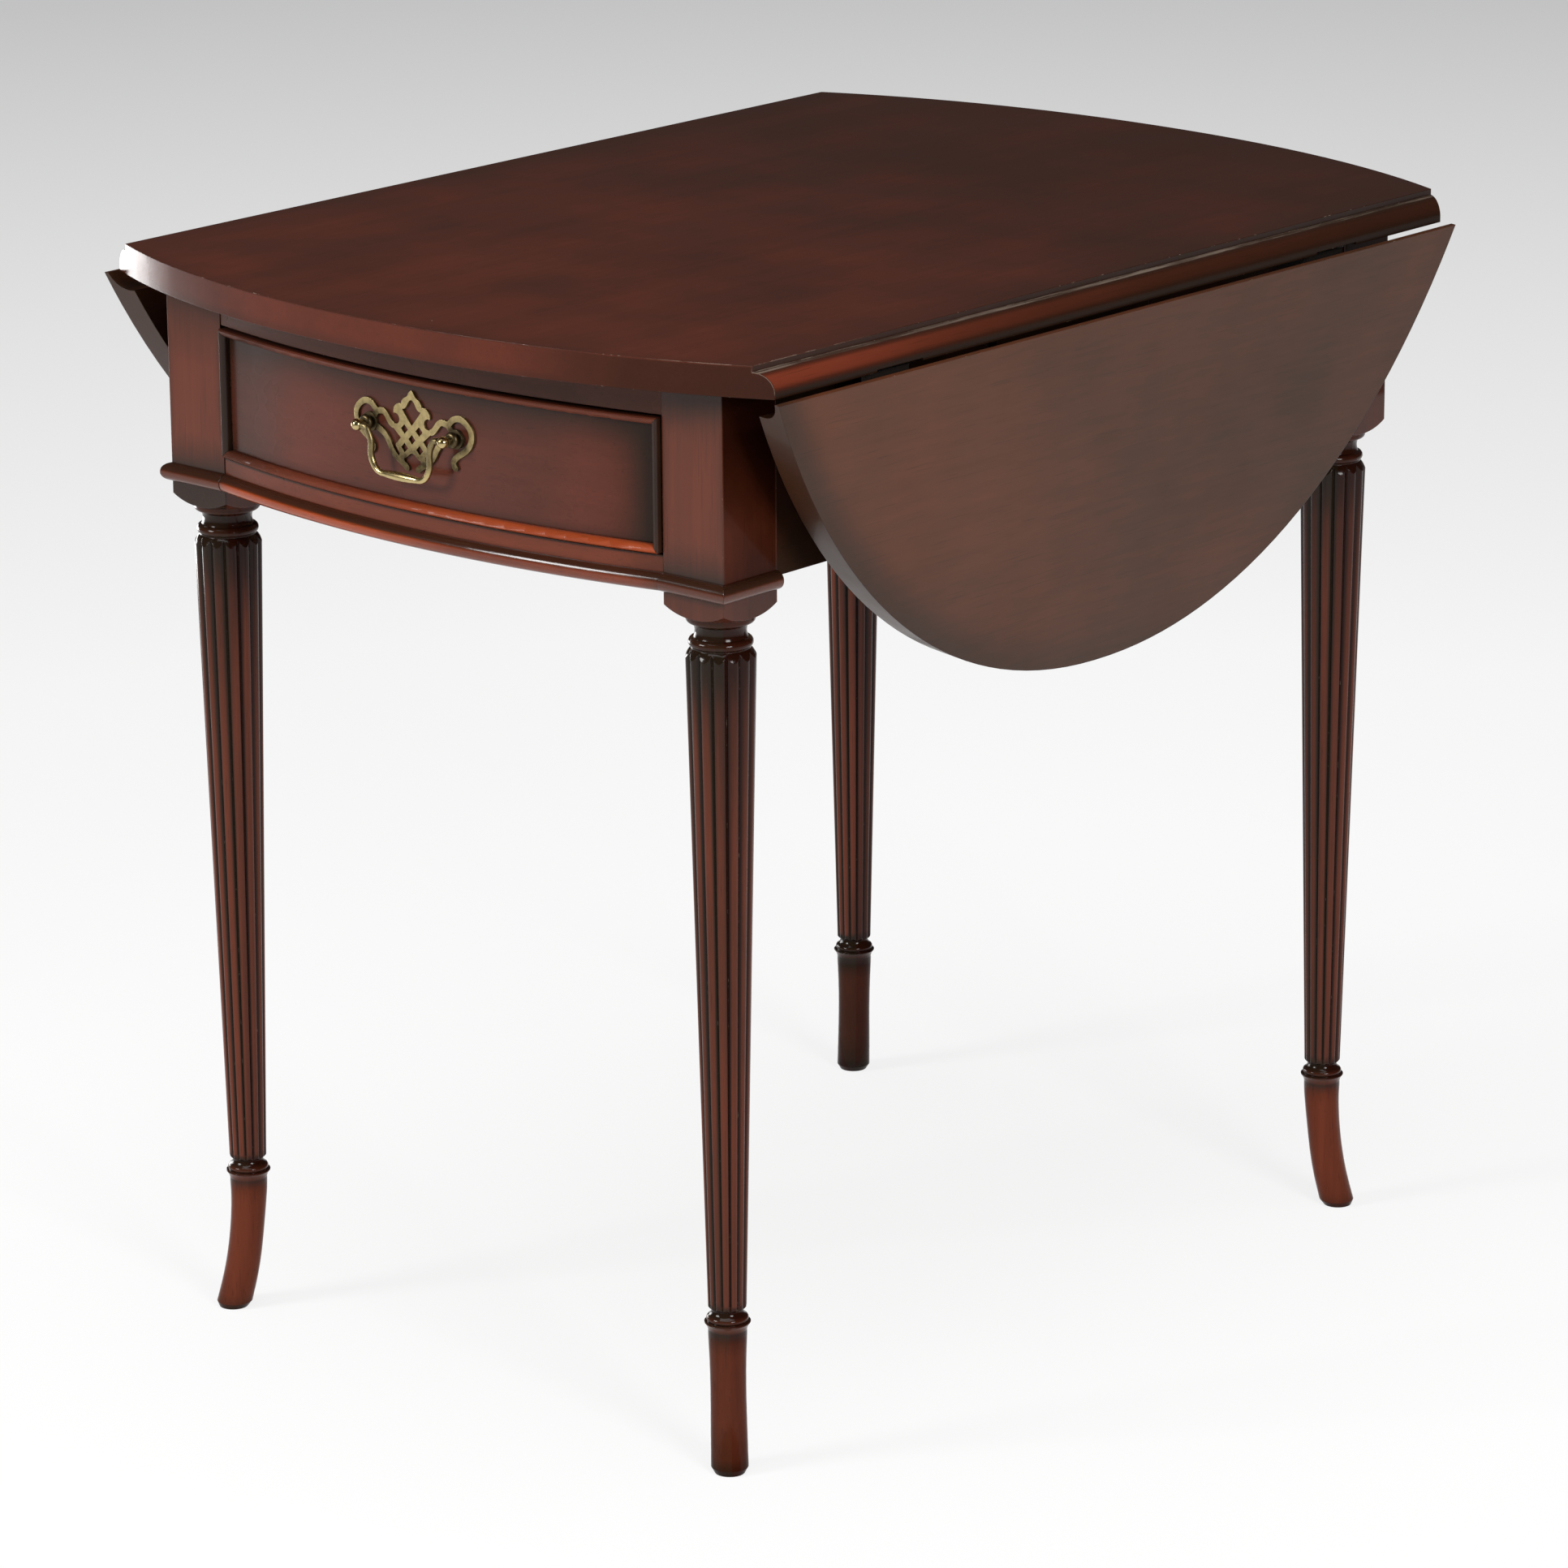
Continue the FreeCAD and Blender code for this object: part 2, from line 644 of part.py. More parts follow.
def fly_pin(radius):
    low, high = value(APRON_LOW), value(UNDER) - size("fly_top_gap")
    return Part.makeCylinder(radius, high - low, Vector(value(FLY_AXIS_X), -size("fly_pivot_y"), low))


def fly_rail_front(own, other):
    """Fixed rail between the front leg and the knuckle."""
    low = (value(APRON_OUT), -value(BLOCK_IN_Y), value(APRON_LOW))
    rail = box_between(low, (value(FLY_OUT), -size("fly_pivot_y"), value(UNDER)))
    return knuckle(rail, own, other, -1).cut(fly_pin(size("fly_pin_radius")))


def fly_bracket(own, other):
    """Swinging bracket, its lower edge sweeping up to a bevelled tip."""
    inner, outer = value(APRON_OUT) + size("fly_gap"), value(FLY_OUT)
    pivot, tip = -size("fly_pivot_y"), size("fly_length") - size("fly_pivot_y")
    low, high = value(APRON_LOW), value(UNDER) - size("fly_top_gap")
    spare = size("overrun")
    shape = knuckle(box_between((inner, pivot, low), (outer, tip, high)), own, other, 1)
    start, rise = pivot + size("fly_rise_start"), low + size("fly_rise")
    run = tip - start
    bend = Vector(inner - spare, start + run / 2, low + size("fly_rise") * (1 - EIGHTH_SHARE) * 3 / 4)
    outline = ((start, low), (tip, rise), (tip + spare, rise), (tip + spare, low - spare),
               (start, low - spare))
    corners = [Vector(inner - spare, *point) for point in outline]
    edges = [Part.Arc(corners[0], bend, corners[1]).toShape()]
    for a, b in zip(corners[1:], corners[2:] + corners[:1]):
        edges.append(Part.makeLine(a, b))
    sweep = Part.Face(Part.Wire(edges)).extrude(Vector(outer - inner + 2 * spare, 0, 0))
    bevel = prism([(inner, tip - size("fly_bevel"), low), (outer, tip, low), (inner, tip, low)],
                  (0, 0, high - low))
    far = (outer + spare, tip + spare, high + spare)
    top_trim = box_between((inner - spare, pivot - 2 * spare, high), far)
    bore = fly_pin(size("fly_pin_radius") + size("pin_clearance"))
    return shape.cut(sweep).cut(bevel).cut(top_trim).cut(bore)


def build_fly(own, other):
    """Each side's fly rail in two lengths with the bracket between them. The left side is the right
    side turned half round."""
    rear_start = size("fly_length") - size("fly_pivot_y") + size("fly_end_gap")
    rear_low = (value(APRON_OUT), rear_start, value(APRON_LOW))
    pieces = {
        "fly_rail_front": fly_rail_front(own, other),
        "fly_rail_rear": box_between(rear_low, (value(FLY_OUT), value(BLOCK_IN_Y), value(UNDER))),
        "fly_bracket": fly_bracket(other, own),
        "fly_pin": fly_pin(size("fly_pin_radius")),
    }
    for name, shape in pieces.items():
        feature(f"{name}_right", shape)
        feature(f"{name}_left", shape, HALF_ROUND)


# Top, leaves and hinges, the leaves first made level

HALF_ROUND = Placement(Vector(), Rotation(Vector(0, 0, 1), HALF_TURN))


def oval_point(angle, height):
    """A point on the oval of the open top, nearly an ellipse."""
    power = 2 / OVAL_POWER
    x = math.copysign(abs(math.cos(angle)) ** power, math.cos(angle)) * size("open_half_width")
    y = math.copysign(abs(math.sin(angle)) ** power, math.sin(angle)) * size("top_half_length")
    return Vector(x, y, height)


def oval_angle(x):
    """The angle at which the oval reaches this X."""
    return math.acos((x / size("open_half_width")) ** (OVAL_POWER / 2))


def oval_arc(first, last, height, steps):
    points = [oval_point(first + (last - first) * step / steps, height) for step in range(steps + 1)]
    curve = Part.BSplineCurve()
    curve.interpolate(points)
    return curve.toShape()


ARC_STEPS = 16


def joint_profile(radius, x_start, x_end, z_end):
    """Cutter along a long edge: beyond a quarter round of this radius, and above x_start's step."""
    x, z = size("joint_half_width"), value(OVOLO_Z)
    y = -size("top_half_length") - size("overrun")
    top = Vector(x, y, z + radius)
    middle = Vector(x + radius * EIGHTH_SHARE, y, z + radius * EIGHTH_SHARE)
    side = Vector(x + radius, y, z)
    arc = Part.Arc(side, middle, top).toShape()
    corners = [top, *(Vector(a, y, b) for a, b in x_start), *(Vector(a, y, b) for a, b in x_end), side]
    edges = [arc] + [Part.makeLine(a, b) for a, b in zip(corners, corners[1:])]
    face = Part.Face(Part.Wire(edges))
    return face.extrude(Vector(0, 2 * size("top_half_length") + 2 * z_end, 0))


def top_blank():
    """Board with bowed ends, a fillet and a quarter round along both long edges."""
    x_out, low, high = size("joint_half_width") + size("ovolo_radius"), value(UNDER), size("table_height")
    spare = size("overrun")
    angle = oval_angle(x_out)
    rear = oval_arc(angle, math.pi - angle, low, ARC_STEPS)
    front = oval_arc(math.pi + angle, 2 * math.pi - angle, low, ARC_STEPS)
    corners = [oval_point(turn, low) for turn in (-angle, angle, math.pi - angle, math.pi + angle)]
    sides = Part.makeLine(corners[0], corners[1]), Part.makeLine(corners[2], corners[3])
    outline = Part.Wire(Part.__sortEdges__([sides[0], rear, sides[1], front]))
    shape = Part.Face(outline).extrude(Vector(0, 0, high - low))
    x, z = size("joint_half_width"), value(OVOLO_Z)
    above = [(x, high + spare), (x_out + spare, high + spare)]
    cutter = joint_profile(size("ovolo_radius"), above, [(x_out + spare, z)], spare)
    return shape.cut(cutter).cut(cutter.mirror(Vector(), Vector(1, 0, 0)))


def leaf_blank():
    """Right leaf, level: the rest of the oval, with a cove that fits the top's quarter round."""
    x, low, high = size("joint_half_width") + size("joint_gap"), value(UNDER), size("table_height")
    spare = size("overrun")
    angle = oval_angle(x)
    rim = oval_arc(-angle, angle, low, 2 * ARC_STEPS)
    joint = Part.makeLine(oval_point(angle, low), oval_point(-angle, low))
    shape = Part.Face(Part.Wire([rim, joint])).extrude(Vector(0, 0, high - low))
    radius = size("ovolo_radius") + size("joint_gap")
    z = value(OVOLO_Z)
    below = [(x - spare, z + radius), (x - spare, low - spare)]
    cutter = joint_profile(radius, below, [(size("joint_half_width") + radius, low - spare)], spare)
    return shape.cut(cutter)


def along_hinge(radius, start, end):
    """A cylinder on the right leaf's hinge axis between two places along it."""
    base = Vector(value(HINGE_AXIS_X), start, value(HINGE_AXIS_Z))
    return Part.makeCylinder(radius, end - start, base, Vector(0, 1, 0))


def hinge_flat(side, y, start):
    """Flat part of a hinge plate, from this far beyond the axis to its end."""
    x, z = value(HINGE_AXIS_X), value(HINGE_AXIS_Z)
    half, rise = size("hinge_width") / 2, size("hinge_thickness") / 2
    length = size("hinge_inner_length") if side < 0 else size("hinge_outer_length")
    near, far = sorted((x + side * start, x + side * length))
    return box_between((near, y - half, z - rise), (far, y + half, z + rise))


def hinge_plate(side, y):
    """One plate of a hinge at y: side -1 lies under the top and has the outer knuckles, side 1 lies
    under the leaf and has the middle knuckle."""
    x, z = value(HINGE_AXIS_X), value(HINGE_AXIS_Z)
    half, rise = size("hinge_width") / 2, size("hinge_thickness") / 2
    gap = size("joint_gap") / 2
    third = half / 3
    round_out = size("knuckle_radius")
    spans = [(-half, -third - gap), (third + gap, half)] if side < 0 else [(-third + gap, third - gap)]
    plate = hinge_flat(side, y, round_out + gap)
    knuckles = []
    for start, end in spans:
        a, b = sorted((x, x + side * (round_out + gap)))
        knuckles.append(box_between((a, y + start, z - rise), (b, y + end, z + rise)))
        knuckles.append(along_hinge(round_out, y + start, y + end))
    bore = along_hinge(size("hinge_pin_radius") + size("pin_clearance"), y - half, y + half)
    return plate.multiFuse(knuckles).cut(bore)


def hinge_screws(side, y):
    """Three screws in a triangle through one plate of a hinge."""
    one = screw(size("hinge_screw_length"), size("screw_head_radius"), size("screw_radius"),
                size("screw_head_height"))
    part = "inner" if side < 0 else "outer"
    near, far = size(f"{part}_screw_near"), size(f"{part}_screw_far")
    low = value(HINGE_AXIS_Z) - size("hinge_thickness") / 2
    x = value(HINGE_AXIS_X)
    places = [(near, -size("screw_spread")), (near, size("screw_spread")), (far, 0)]
    return [one.translated(Vector(x + side * out, y + along, low)) for out, along in places]


def hinge_recess(y):
    """Room in the top's underside for the knuckles and for the leaf's plate."""
    gap = size("hinge_relief")
    half = size("hinge_width") / 2 + gap
    x, low = value(HINGE_AXIS_X), value(UNDER)
    reach = x + size("ovolo_radius") + size("overrun")
    barrel = along_hinge(size("knuckle_radius") + gap, y - half, y + half)
    deep = low + size("hinge_let_in") + gap
    relief = box_between((x, y - half, low - size("overrun")), (reach, y + half, deep))
    return barrel.multiFuse([relief, hinge_flat(-1, y, 0)])


def turned_half(shape):
    """A copy turned half round the table's upright axis."""
    copy = shape.copy()
    copy.rotate(Vector(), Vector(0, 0, 1), HALF_TURN)
    return copy


def build_top_and_leaves(screws):
    axis = Vector(value(HINGE_AXIS_X), 0, value(HINGE_AXIS_Z))
    hang = Placement(Vector(), Rotation(Vector(0, 1, 0), LEAF_HANG_ANGLE), axis)
    hang_left = HALF_ROUND.multiply(hang)
    places = {"front": -value(HINGE_Y), "rear": value(HINGE_Y)}
    inner_screws, outer_screws, recesses, leaf_recesses, pins = [], [], [], [], []
    half = size("hinge_width") / 2
    for where, y in places.items():
        inner, outer = hinge_screws(-1, y), hinge_screws(1, y)
        inner_screws += inner
        outer_screws += outer
        recesses.append(hinge_recess(y))
        leaf_recesses.append(hinge_flat(1, y, 0))
        pins.append(along_hinge(size("hinge_pin_radius"), y - half, y + half))
        fixed = hinge_plate(-1, y).cut(Part.makeCompound(inner))
        moving = hinge_plate(1, y).cut(Part.makeCompound(outer))
        other = "rear" if where == "front" else "front"
        feature(f"hinge_plate_top_right_{where}", fixed)
        feature(f"hinge_plate_top_left_{other}", fixed, HALF_ROUND)
        feature(f"hinge_plate_leaf_right_{where}", moving, hang)
        feature(f"hinge_plate_leaf_left_{other}", moving, hang_left)
    feature("hinge_pins_right", Part.makeCompound(pins))
    feature("hinge_pins_left", Part.makeCompound(pins), HALF_ROUND)
    right_side = inner_screws + recesses
    top = top_blank()
    for item in right_side + [turned_half(item) for item in right_side] + [screws]:
        top = top.cut(item)
    feature("top_board", top)
    all_inner = inner_screws + [turned_half(item) for item in inner_screws]
    feature("hinge_screws_top", Part.makeCompound(all_inner))
    leaf = leaf_blank().cut(Part.makeCompound(leaf_recesses)).cut(Part.makeCompound(outer_screws))
    feature("leaf_right", leaf, hang)
    feature("leaf_left", leaf, hang_left)
    feature("hinge_screws_leaf_right", Part.makeCompound(outer_screws), hang)
    feature("hinge_screws_leaf_left", Part.makeCompound(outer_screws), hang_left)


# Drawer

def cock_bead_section(place):
    """Bead section with an eased outer edge, falling in a quarter round to the panel; place(inward, out)
    puts a point of it in space."""
    wide, tall, seat = size("cock_bead_width"), size("cock_bead_height"), -size("cock_bead_seat")
    ease, foot = wide * COCK_BEAD_EASE_SHARE, tall * COCK_BEAD_FOOT_SHARE
    outer = [place(0, seat), place(0, tall - ease), place(ease, tall)]
    middle = place(ease + (wide - ease) * EIGHTH_SHARE, foot + (tall - foot) * EIGHTH_SHARE)
    inner = [place(wide, foot), place(wide, seat)]
    edges = [
        Part.makeLine(outer[0], outer[1]),
        Part.makeLine(outer[1], outer[2]),
        Part.Arc(outer[2], middle, inner[0]).toShape(),
        Part.makeLine(inner[0], inner[1]),
        Part.makeLine(inner[1], outer[0]),
    ]
    return Part.Face(Part.Wire(edges))


def corner_prism(x, z, across, rise):
    """Triangle at a corner of the drawer front, on the far side of its mitre, through the beads' depth."""
    reach = 2 * size("cock_bead_width")
    front = bow_y(0, value(BOW_RADIUS)) - size("bow_rise")
    sunk = Vector(x - math.copysign(reach, x) * (1 - across), front, z + rise * reach * across)
    points = [(x, front, z), (x - math.copysign(reach, x), front, z + rise * reach), tuple(sunk)]
    return prism(points, (0, 3 * size("bow_rise"), 0))


def cock_bead_across(edge, inward):
    """Bead along the drawer front's top or bottom edge, mitred at both ends."""
    panel = value(BOW_CENTRE) - value(PANEL_RADIUS)
    section = cock_bead_section(lambda w, d: Vector(0, panel - d, edge + inward * w))
    bead = between_sides(swept_about_bow(section), value(DRAWER_HALF))
    for x in (-value(DRAWER_HALF), value(DRAWER_HALF)):
        bead = bead.cut(corner_prism(x, edge, 1, inward))
    return bead


def cock_bead_upright():
    """Bead up the drawer front's right end, mitred to the other two."""
    low, high, right = value(DRAWER_LOW), value(DRAWER_HIGH), value(DRAWER_HALF)
    radius = value(PANEL_RADIUS)
    section = cock_bead_section(lambda w, d: Vector(right - w, bow_y(right - w, radius + d), low))
    bead = section.extrude(Vector(0, 0, high - low))
    return bead.cut(corner_prism(right, low, 0, 1)).cut(corner_prism(right, high, 0, -1))


def build_drawer_box(beads, stems):
    """Bowed front, two sides, back and bottom."""
    low, high = value(DRAWER_LOW), value(DRAWER_HIGH)
    ring = bow_cylinder(value(PANEL_RADIUS), low, high).cut(bow_cylinder(value(PANEL_BACK_RADIUS), low, high))
    front = between_sides(ring, value(DRAWER_HALF)).cut(Part.makeCompound(beads)).cut(stems)
    feature("drawer_front", front)
    spare = size("overrun")
    inside = bow_cylinder(value(PANEL_BACK_RADIUS), low - spare, high + spare)
    ahead, rear = -value(BLOCK_OUT_Y), value(DRAWER_REAR)
    tray_half = value(SIDE_IN) + size("drawer_groove")
    tray_front = ahead - size("bow_rise")
    tray = box_between((-tray_half, tray_front, value(TRAY_LOW)), (tray_half, rear, value(TRAY_HIGH)))
    tray = tray.common(inside)
    feature("drawer_bottom", tray)
    side_low = (value(SIDE_IN), ahead, value(SIDE_LOW))
    side = box_between(side_low, (value(DRAWER_HALF), rear, value(SIDE_HIGH))).common(inside).cut(tray)
    feature("drawer_side_right", side)
    feature("drawer_side_left", side.mirror(Vector(), Vector(1, 0, 0)))
    back_front = f"({DRAWER_REAR} - sizes.drawer_side_thickness)"
    back_top = f"({SIDE_HIGH} - sizes.drawer_back_drop)"
    board("drawer_back", (f"-{SIDE_IN}", back_front, TRAY_HIGH), (SIDE_IN, DRAWER_REAR, back_top))


def build_drawer(stems):
    upright = cock_bead_upright()
    beads = {
        "cock_bead_top": cock_bead_across(value(DRAWER_HIGH), -1),
        "cock_bead_bottom": cock_bead_across(value(DRAWER_LOW), 1),
        "cock_bead_right": upright,
        "cock_bead_left": upright.mirror(Vector(), Vector(1, 0, 0)),
    }
    for label, shape in beads.items():
        feature(label, shape)
    build_drawer_box(list(beads.values()), stems)


# Pull: outlines are shares of the half spacing of its posts

# Right edge of the crest and of its tulip-shaped hole, from top to bottom: runs of two points are straight
CREST_SHARES = (
    ((0.0, 0.68), (0.045, 0.65), (0.1, 0.57), (0.17, 0.53), (0.22, 0.48), (0.24, 0.42)),
    ((0.24, 0.42), (0.31, 0.42), (0.38, 0.38), (0.42, 0.31), (0.42, 0.24)),
    ((0.42, 0.24), (0.35, 0.24), (0.3, 0.2), (0.29, 0.13), (0.32, 0.08), (0.38, 0.06)),
    ((0.38, 0.06), (0.5, 0.04)),
    ((0.5, 0.04), (0.26, -0.16)),
    ((0.26, -0.16), (0.39, -0.3)),
    ((0.39, -0.3), (0.26, -0.48)),
    ((0.26, -0.48), (0.19, -0.5), (0.12, -0.47), (0.06, -0.42), (0.0, -0.4)),
)
TULIP_SHARES = (
    ((0.0, 0.52), (0.07, 0.47), (0.12, 0.39), (0.22, 0.34)),
    ((0.22, 0.34), (0.15, 0.25), (0.0, 0.08)),
)
DIAMOND_SHARES = ((-0.17, 0.0), (0.17, 0.0), (0.0, -0.16), (-0.175, -0.32), (0.175, -0.32))
STRAP_SHARES = (
    ((0.45, 0.03), (0.52, 0.08), (0.6, 0.18), (0.69, 0.235), (0.82, 0.22), (0.92, 0.3), (1.03, 0.35),
     (1.13, 0.345), (1.24, 0.28), (1.32, 0.19), (1.345, 0.06), (1.31, -0.06), (1.23, -0.16), (1.1, -0.25),
     (1.0, -0.32), (0.94, -0.41), (0.98, -0.5)),
    ((0.82, 0.22), (1.0, 0.0)),
    ((1.0, 0.0), (0.78, -0.08), (0.64, -0.16), (0.56, -0.26), (0.48, -0.4), (0.37, -0.51), (0.25, -0.58),
     (0.13, -0.66)),
    ((0.25, -0.47), (0.25, -0.58)),
)


def pull_vector(point, side=1):
    unit = size("post_half_space")
    return Vector(side * point[0] * unit, 0, value(PULL_HEIGHT) + point[1] * unit)


def flat_polygon(points):
    return Part.Face(Part.makePolygon(list(points) + [points[0]]))


def flat_disc(centre, radius):
    return Part.Face(Part.Wire(Part.makeCircle(radius, centre, Vector(0, 1, 0))))


def smooth_curve(points):
    curve = Part.BSplineCurve()
    curve.interpolate(points)
    return curve


def run_edge(points):
    """A straight edge between two points, a smooth one through more."""
    return Part.makeLine(*points) if len(points) == 2 else smooth_curve(points).toShape()


def mirrored_outline(runs):
    """Flat face between the runs of its right edge and their mirror image."""
    right = [run_edge([pull_vector(point) for point in run]) for run in runs]
    left = [run_edge([pull_vector(point, -1) for point in run]) for run in reversed(runs)]
    return Part.Face(Part.Wire(right + left))


STRAP_STEPS = 4


def strap(points, width):
    """A flat band with round ends along a smooth curve through these points."""
    if len(points) == 2:
        points = [points[0], (points[0] + points[1]) / 2, points[1]]
    curve = smooth_curve(points)
    steps = STRAP_STEPS * (len(points) - 1)
    first, last = curve.FirstParameter, curve.LastParameter
    left, right = [], []
    for step in range(steps + 1):
        place = first + (last - first) * step / steps
        middle, along = curve.value(place), curve.tangent(place)[0]
        across = along.cross(Vector(0, 1, 0)).normalize() * (width / 2)
        left.append(middle + across)
        right.append(middle - across)
    start_tip = points[0] - curve.tangent(first)[0] * (width / 2)
    end_tip = points[-1] + curve.tangent(last)[0] * (width / 2)
    return Part.Face(Part.Wire([
        smooth_curve(left).toShape(),
        Part.Arc(left[-1], end_tip, right[-1]).toShape(),
        smooth_curve(right).toShape(),
        Part.Arc(right[0], start_tip, left[0]).toShape(),
    ]))


def plate_outline():
    """Flat outline of the pierced back plate."""
    crest = mirrored_outline(CREST_SHARES)
    unit = size("diamond_half")
    holes = [mirrored_outline(TULIP_SHARES)]
    for point in DIAMOND_SHARES:
        middle = pull_vector(point)
        corners = [Vector(unit, 0, 0), Vector(0, 0, unit), Vector(-unit, 0, 0), Vector(0, 0, -unit)]
        holes.append(flat_polygon([middle + corner for corner in corners]))
    straps = []
    for side in (-1, 1):
        straps.append(flat_disc(pull_vector((1, 0), side), size("flange_radius")))
        for points in STRAP_SHARES:
            straps.append(strap([pull_vector(point, side) for point in points], size("strap_width")))
    return crest.multiFuse(straps).cut(Part.makeCompound(holes)).removeSplitter()


def pull_plate(stems):
    """The outline, bent to the bow of the drawer front."""
    depth = size("panel_recess")
    low, high = value(DRAWER_LOW), value(DRAWER_HIGH)
    radius = value(PANEL_RADIUS)
    flat = plate_outline()
    flat.translate(Vector(0, value(BOW_CENTRE) - radius + depth, 0))
    block = flat.extrude(Vector(0, -2 * depth, 0))
    shell = bow_cylinder(radius + size("plate_thickness"), low, high).cut(bow_cylinder(radius, low, high))
    return block.common(shell).cut(stems)


def post_base():
    """Where a post's axis meets the plate's front, and the same for the ball at its end."""
    y = bow_y(size("post_half_space"), value(PANEL_RADIUS) + size("plate_thickness"))
    return y, y - size("ball_reach")


def outward(shape, x, y):
    """Lay a shape turned about Z along -Y, its foot at this place."""
    copy = shape.copy()
    copy.rotate(Vector(), Vector(1, 0, 0), QUARTER_TURN)
    return copy.translated(Vector(x, y, value(PULL_HEIGHT)))


def post_turning():
    """Flange, bulb, neck and ball of a post, along Z from the plate's face."""
    flange, rise = size("flange_radius"), size("flange_height")
    bulb, reach = size("bulb_radius"), size("bulb_reach")
    neck, ball = size("post_neck_radius"), size("ball_radius")
    end = size("ball_reach")
    sunk = -size("plate_thickness")
    ball_foot = end - math.sqrt(ball * ball - neck * neck)
    body = lathe((0, sunk), [
        (flange, sunk),
        (flange, rise / 2),
        (neck, rise),
        (bulb, reach, neck, 2 * reach - rise),
        (neck, ball_foot),
        (ball, end, 0, end + ball),
    ])
    return body


def pull_stems():
    """Threaded ends of the posts, through the plate and the drawer front to the nuts."""
    face, _ = post_base()
    length = size("panel_thickness") + size("plate_thickness") + 2 * size("nut_thickness")
    one = Part.makeCylinder(size("stem_radius"), length, Vector(), Vector(0, 1, 0))
    spots = [Vector(side * size("post_half_space"), face, value(PULL_HEIGHT)) for side in (-1, 1)]
    return [one.translated(spot) for spot in spots]


def pull_posts(stems):
    face, _ = post_base()
    radius = value(PANEL_RADIUS) + size("plate_thickness")
    inside = bow_cylinder(radius, value(DRAWER_LOW), value(DRAWER_HIGH))
    posts = []
    for side, stem in zip((-1, 1), stems):
        post = outward(post_turning(), side * size("post_half_space"), face).cut(inside)
        posts.append(post.fuse(stem).cut(bail_pin_holes()))
    return Part.makeCompound(posts)


def bail_pin_holes():
    """Blind holes in the inner side of each ball, for the ends of the bail."""
    _, y = post_base()
    radius = size("bail_pin_radius") + size("pin_clearance")
    space = size("post_half_space")
    length = size("ball_radius") + size("overrun")
    holes = []
    for side in (-1, 1):
        end = Vector(side * (space + size("pin_clearance")), y, value(PULL_HEIGHT))
        holes.append(Part.makeCylinder(radius, length, end, Vector(-side, 0, 0)))
    return Part.makeCompound(holes)


def pull_nuts(stems):
    """Nuts behind the drawer front."""
    nuts = []
    low, high = value(DRAWER_LOW), value(DRAWER_HIGH)
    panel = bow_cylinder(value(PANEL_RADIUS), low, high)
    panel = panel.cut(bow_cylinder(value(PANEL_BACK_RADIUS), low, high))
    thick = size("nut_thickness")
    for side in (-1, 1):
        x = side * size("post_half_space")
        start = bow_y(x, value(PANEL_BACK_RADIUS)) - thick / 2
        spot = Vector(x, start, value(PULL_HEIGHT))
        nut = Part.makeCylinder(size("nut_radius"), thick * 3 / 2, spot, Vector(0, 1, 0))
        nuts.append(nut.cut(panel).cut(Part.makeCompound(stems)))
    return Part.makeCompound(nuts)


# Bail centre line from its pin to the middle: shares of its half width and of its drop
BAIL_SHARES = ((1.0, 0.0), (0.85, -0.3), (0.89, -0.68), (0.7, -1.0))


def rounded_path(points, bend):
    """Straight runs joined by tangent arcs."""
    edges = []
    here = points[0]
    for before, corner, after in zip(points, points[1:], points[2:]):
        inward, onward = (before - corner).normalize(), (after - corner).normalize()
        half = inward.getAngle(onward) / 2
        cut = min(bend / math.tan(half), (before - corner).Length / 2, (after - corner).Length / 2)
        start, end = corner + inward * cut, corner + onward * cut
        radius = cut * math.tan(half)
        middle_line = (inward + onward).normalize()
        middle = corner + middle_line * (radius / math.sin(half) - radius)
        edges.append(Part.makeLine(here, start))
        edges.append(Part.Arc(start, middle, end).toShape())
        here = end
    edges.append(Part.makeLine(here, points[-1]))
    return Part.Wire(edges)


def pull_bail():
    """Bail with cranked arms, pins at its ends and a thicker bar along the bottom."""
    _, y = post_base()
    half, drop, z = size("bail_half_width"), size("bail_drop"), value(PULL_HEIGHT)
    right = [Vector(half * a, y, z + drop * b) for a, b in BAIL_SHARES]
    tip = Vector(size("post_half_space") - size("ball_radius") - size("joint_gap"), y, z)
    left = [Vector(-point.x, y, point.z) for point in right]
    points = [tip, *right, *reversed(left), Vector(-tip.x, y, z)]
    path = rounded_path(points, size("bail_bend"))
    ring = Part.Wire(Part.makeCircle(size("bail_radius"), tip, Vector(1, 0, 0)))
    arms = path.makePipeShell([ring], True, False)
    bar_half, bar, thin = size("bail_bar_half"), size("bail_bar_radius"), size("bail_radius")
    swell = lathe((0, -bar_half), [(thin, -bar_half), (bar, 0, thin, bar_half), (0, bar_half)])
    swell.rotate(Vector(), Vector(0, 1, 0), QUARTER_TURN)
    pieces = [swell.translated(Vector(0, y, z - drop))]
    for side in (-1, 1):
        end = Vector(side * tip.x, y, z)
        length = size("post_half_space") - tip.x
        pieces.append(Part.makeCylinder(size("bail_pin_radius"), length, end, Vector(side, 0, 0)))
    return arms.multiFuse(pieces)


def build_pull(stems):
    feature("pull_plate", pull_plate(Part.makeCompound(stems)))
    feature("pull_posts", pull_posts(stems))
    feature("pull_nuts", pull_nuts(stems))
    feature("pull_bail", pull_bail())


def check_document():
    """Every object recomputed, every piece a valid shape of closed solids."""
    doc.recompute()
    for obj in doc.Objects:
        if {"Invalid", "Error"} & set(obj.State):
            raise RuntimeError(f"{obj.Label} failed: {obj.State}")
    for obj in NODES:
        if obj.Shape.isNull() or not obj.Shape.isValid() or not obj.Shape.Solids:
            raise RuntimeError(f"{obj.Label} has no valid solid")


def write_parts():
    os.makedirs("parts", exist_ok=True)
    for obj in NODES:
        obj.Shape.exportStep(f"parts/{obj.Label}.step")
    print(len(NODES), "pieces written")


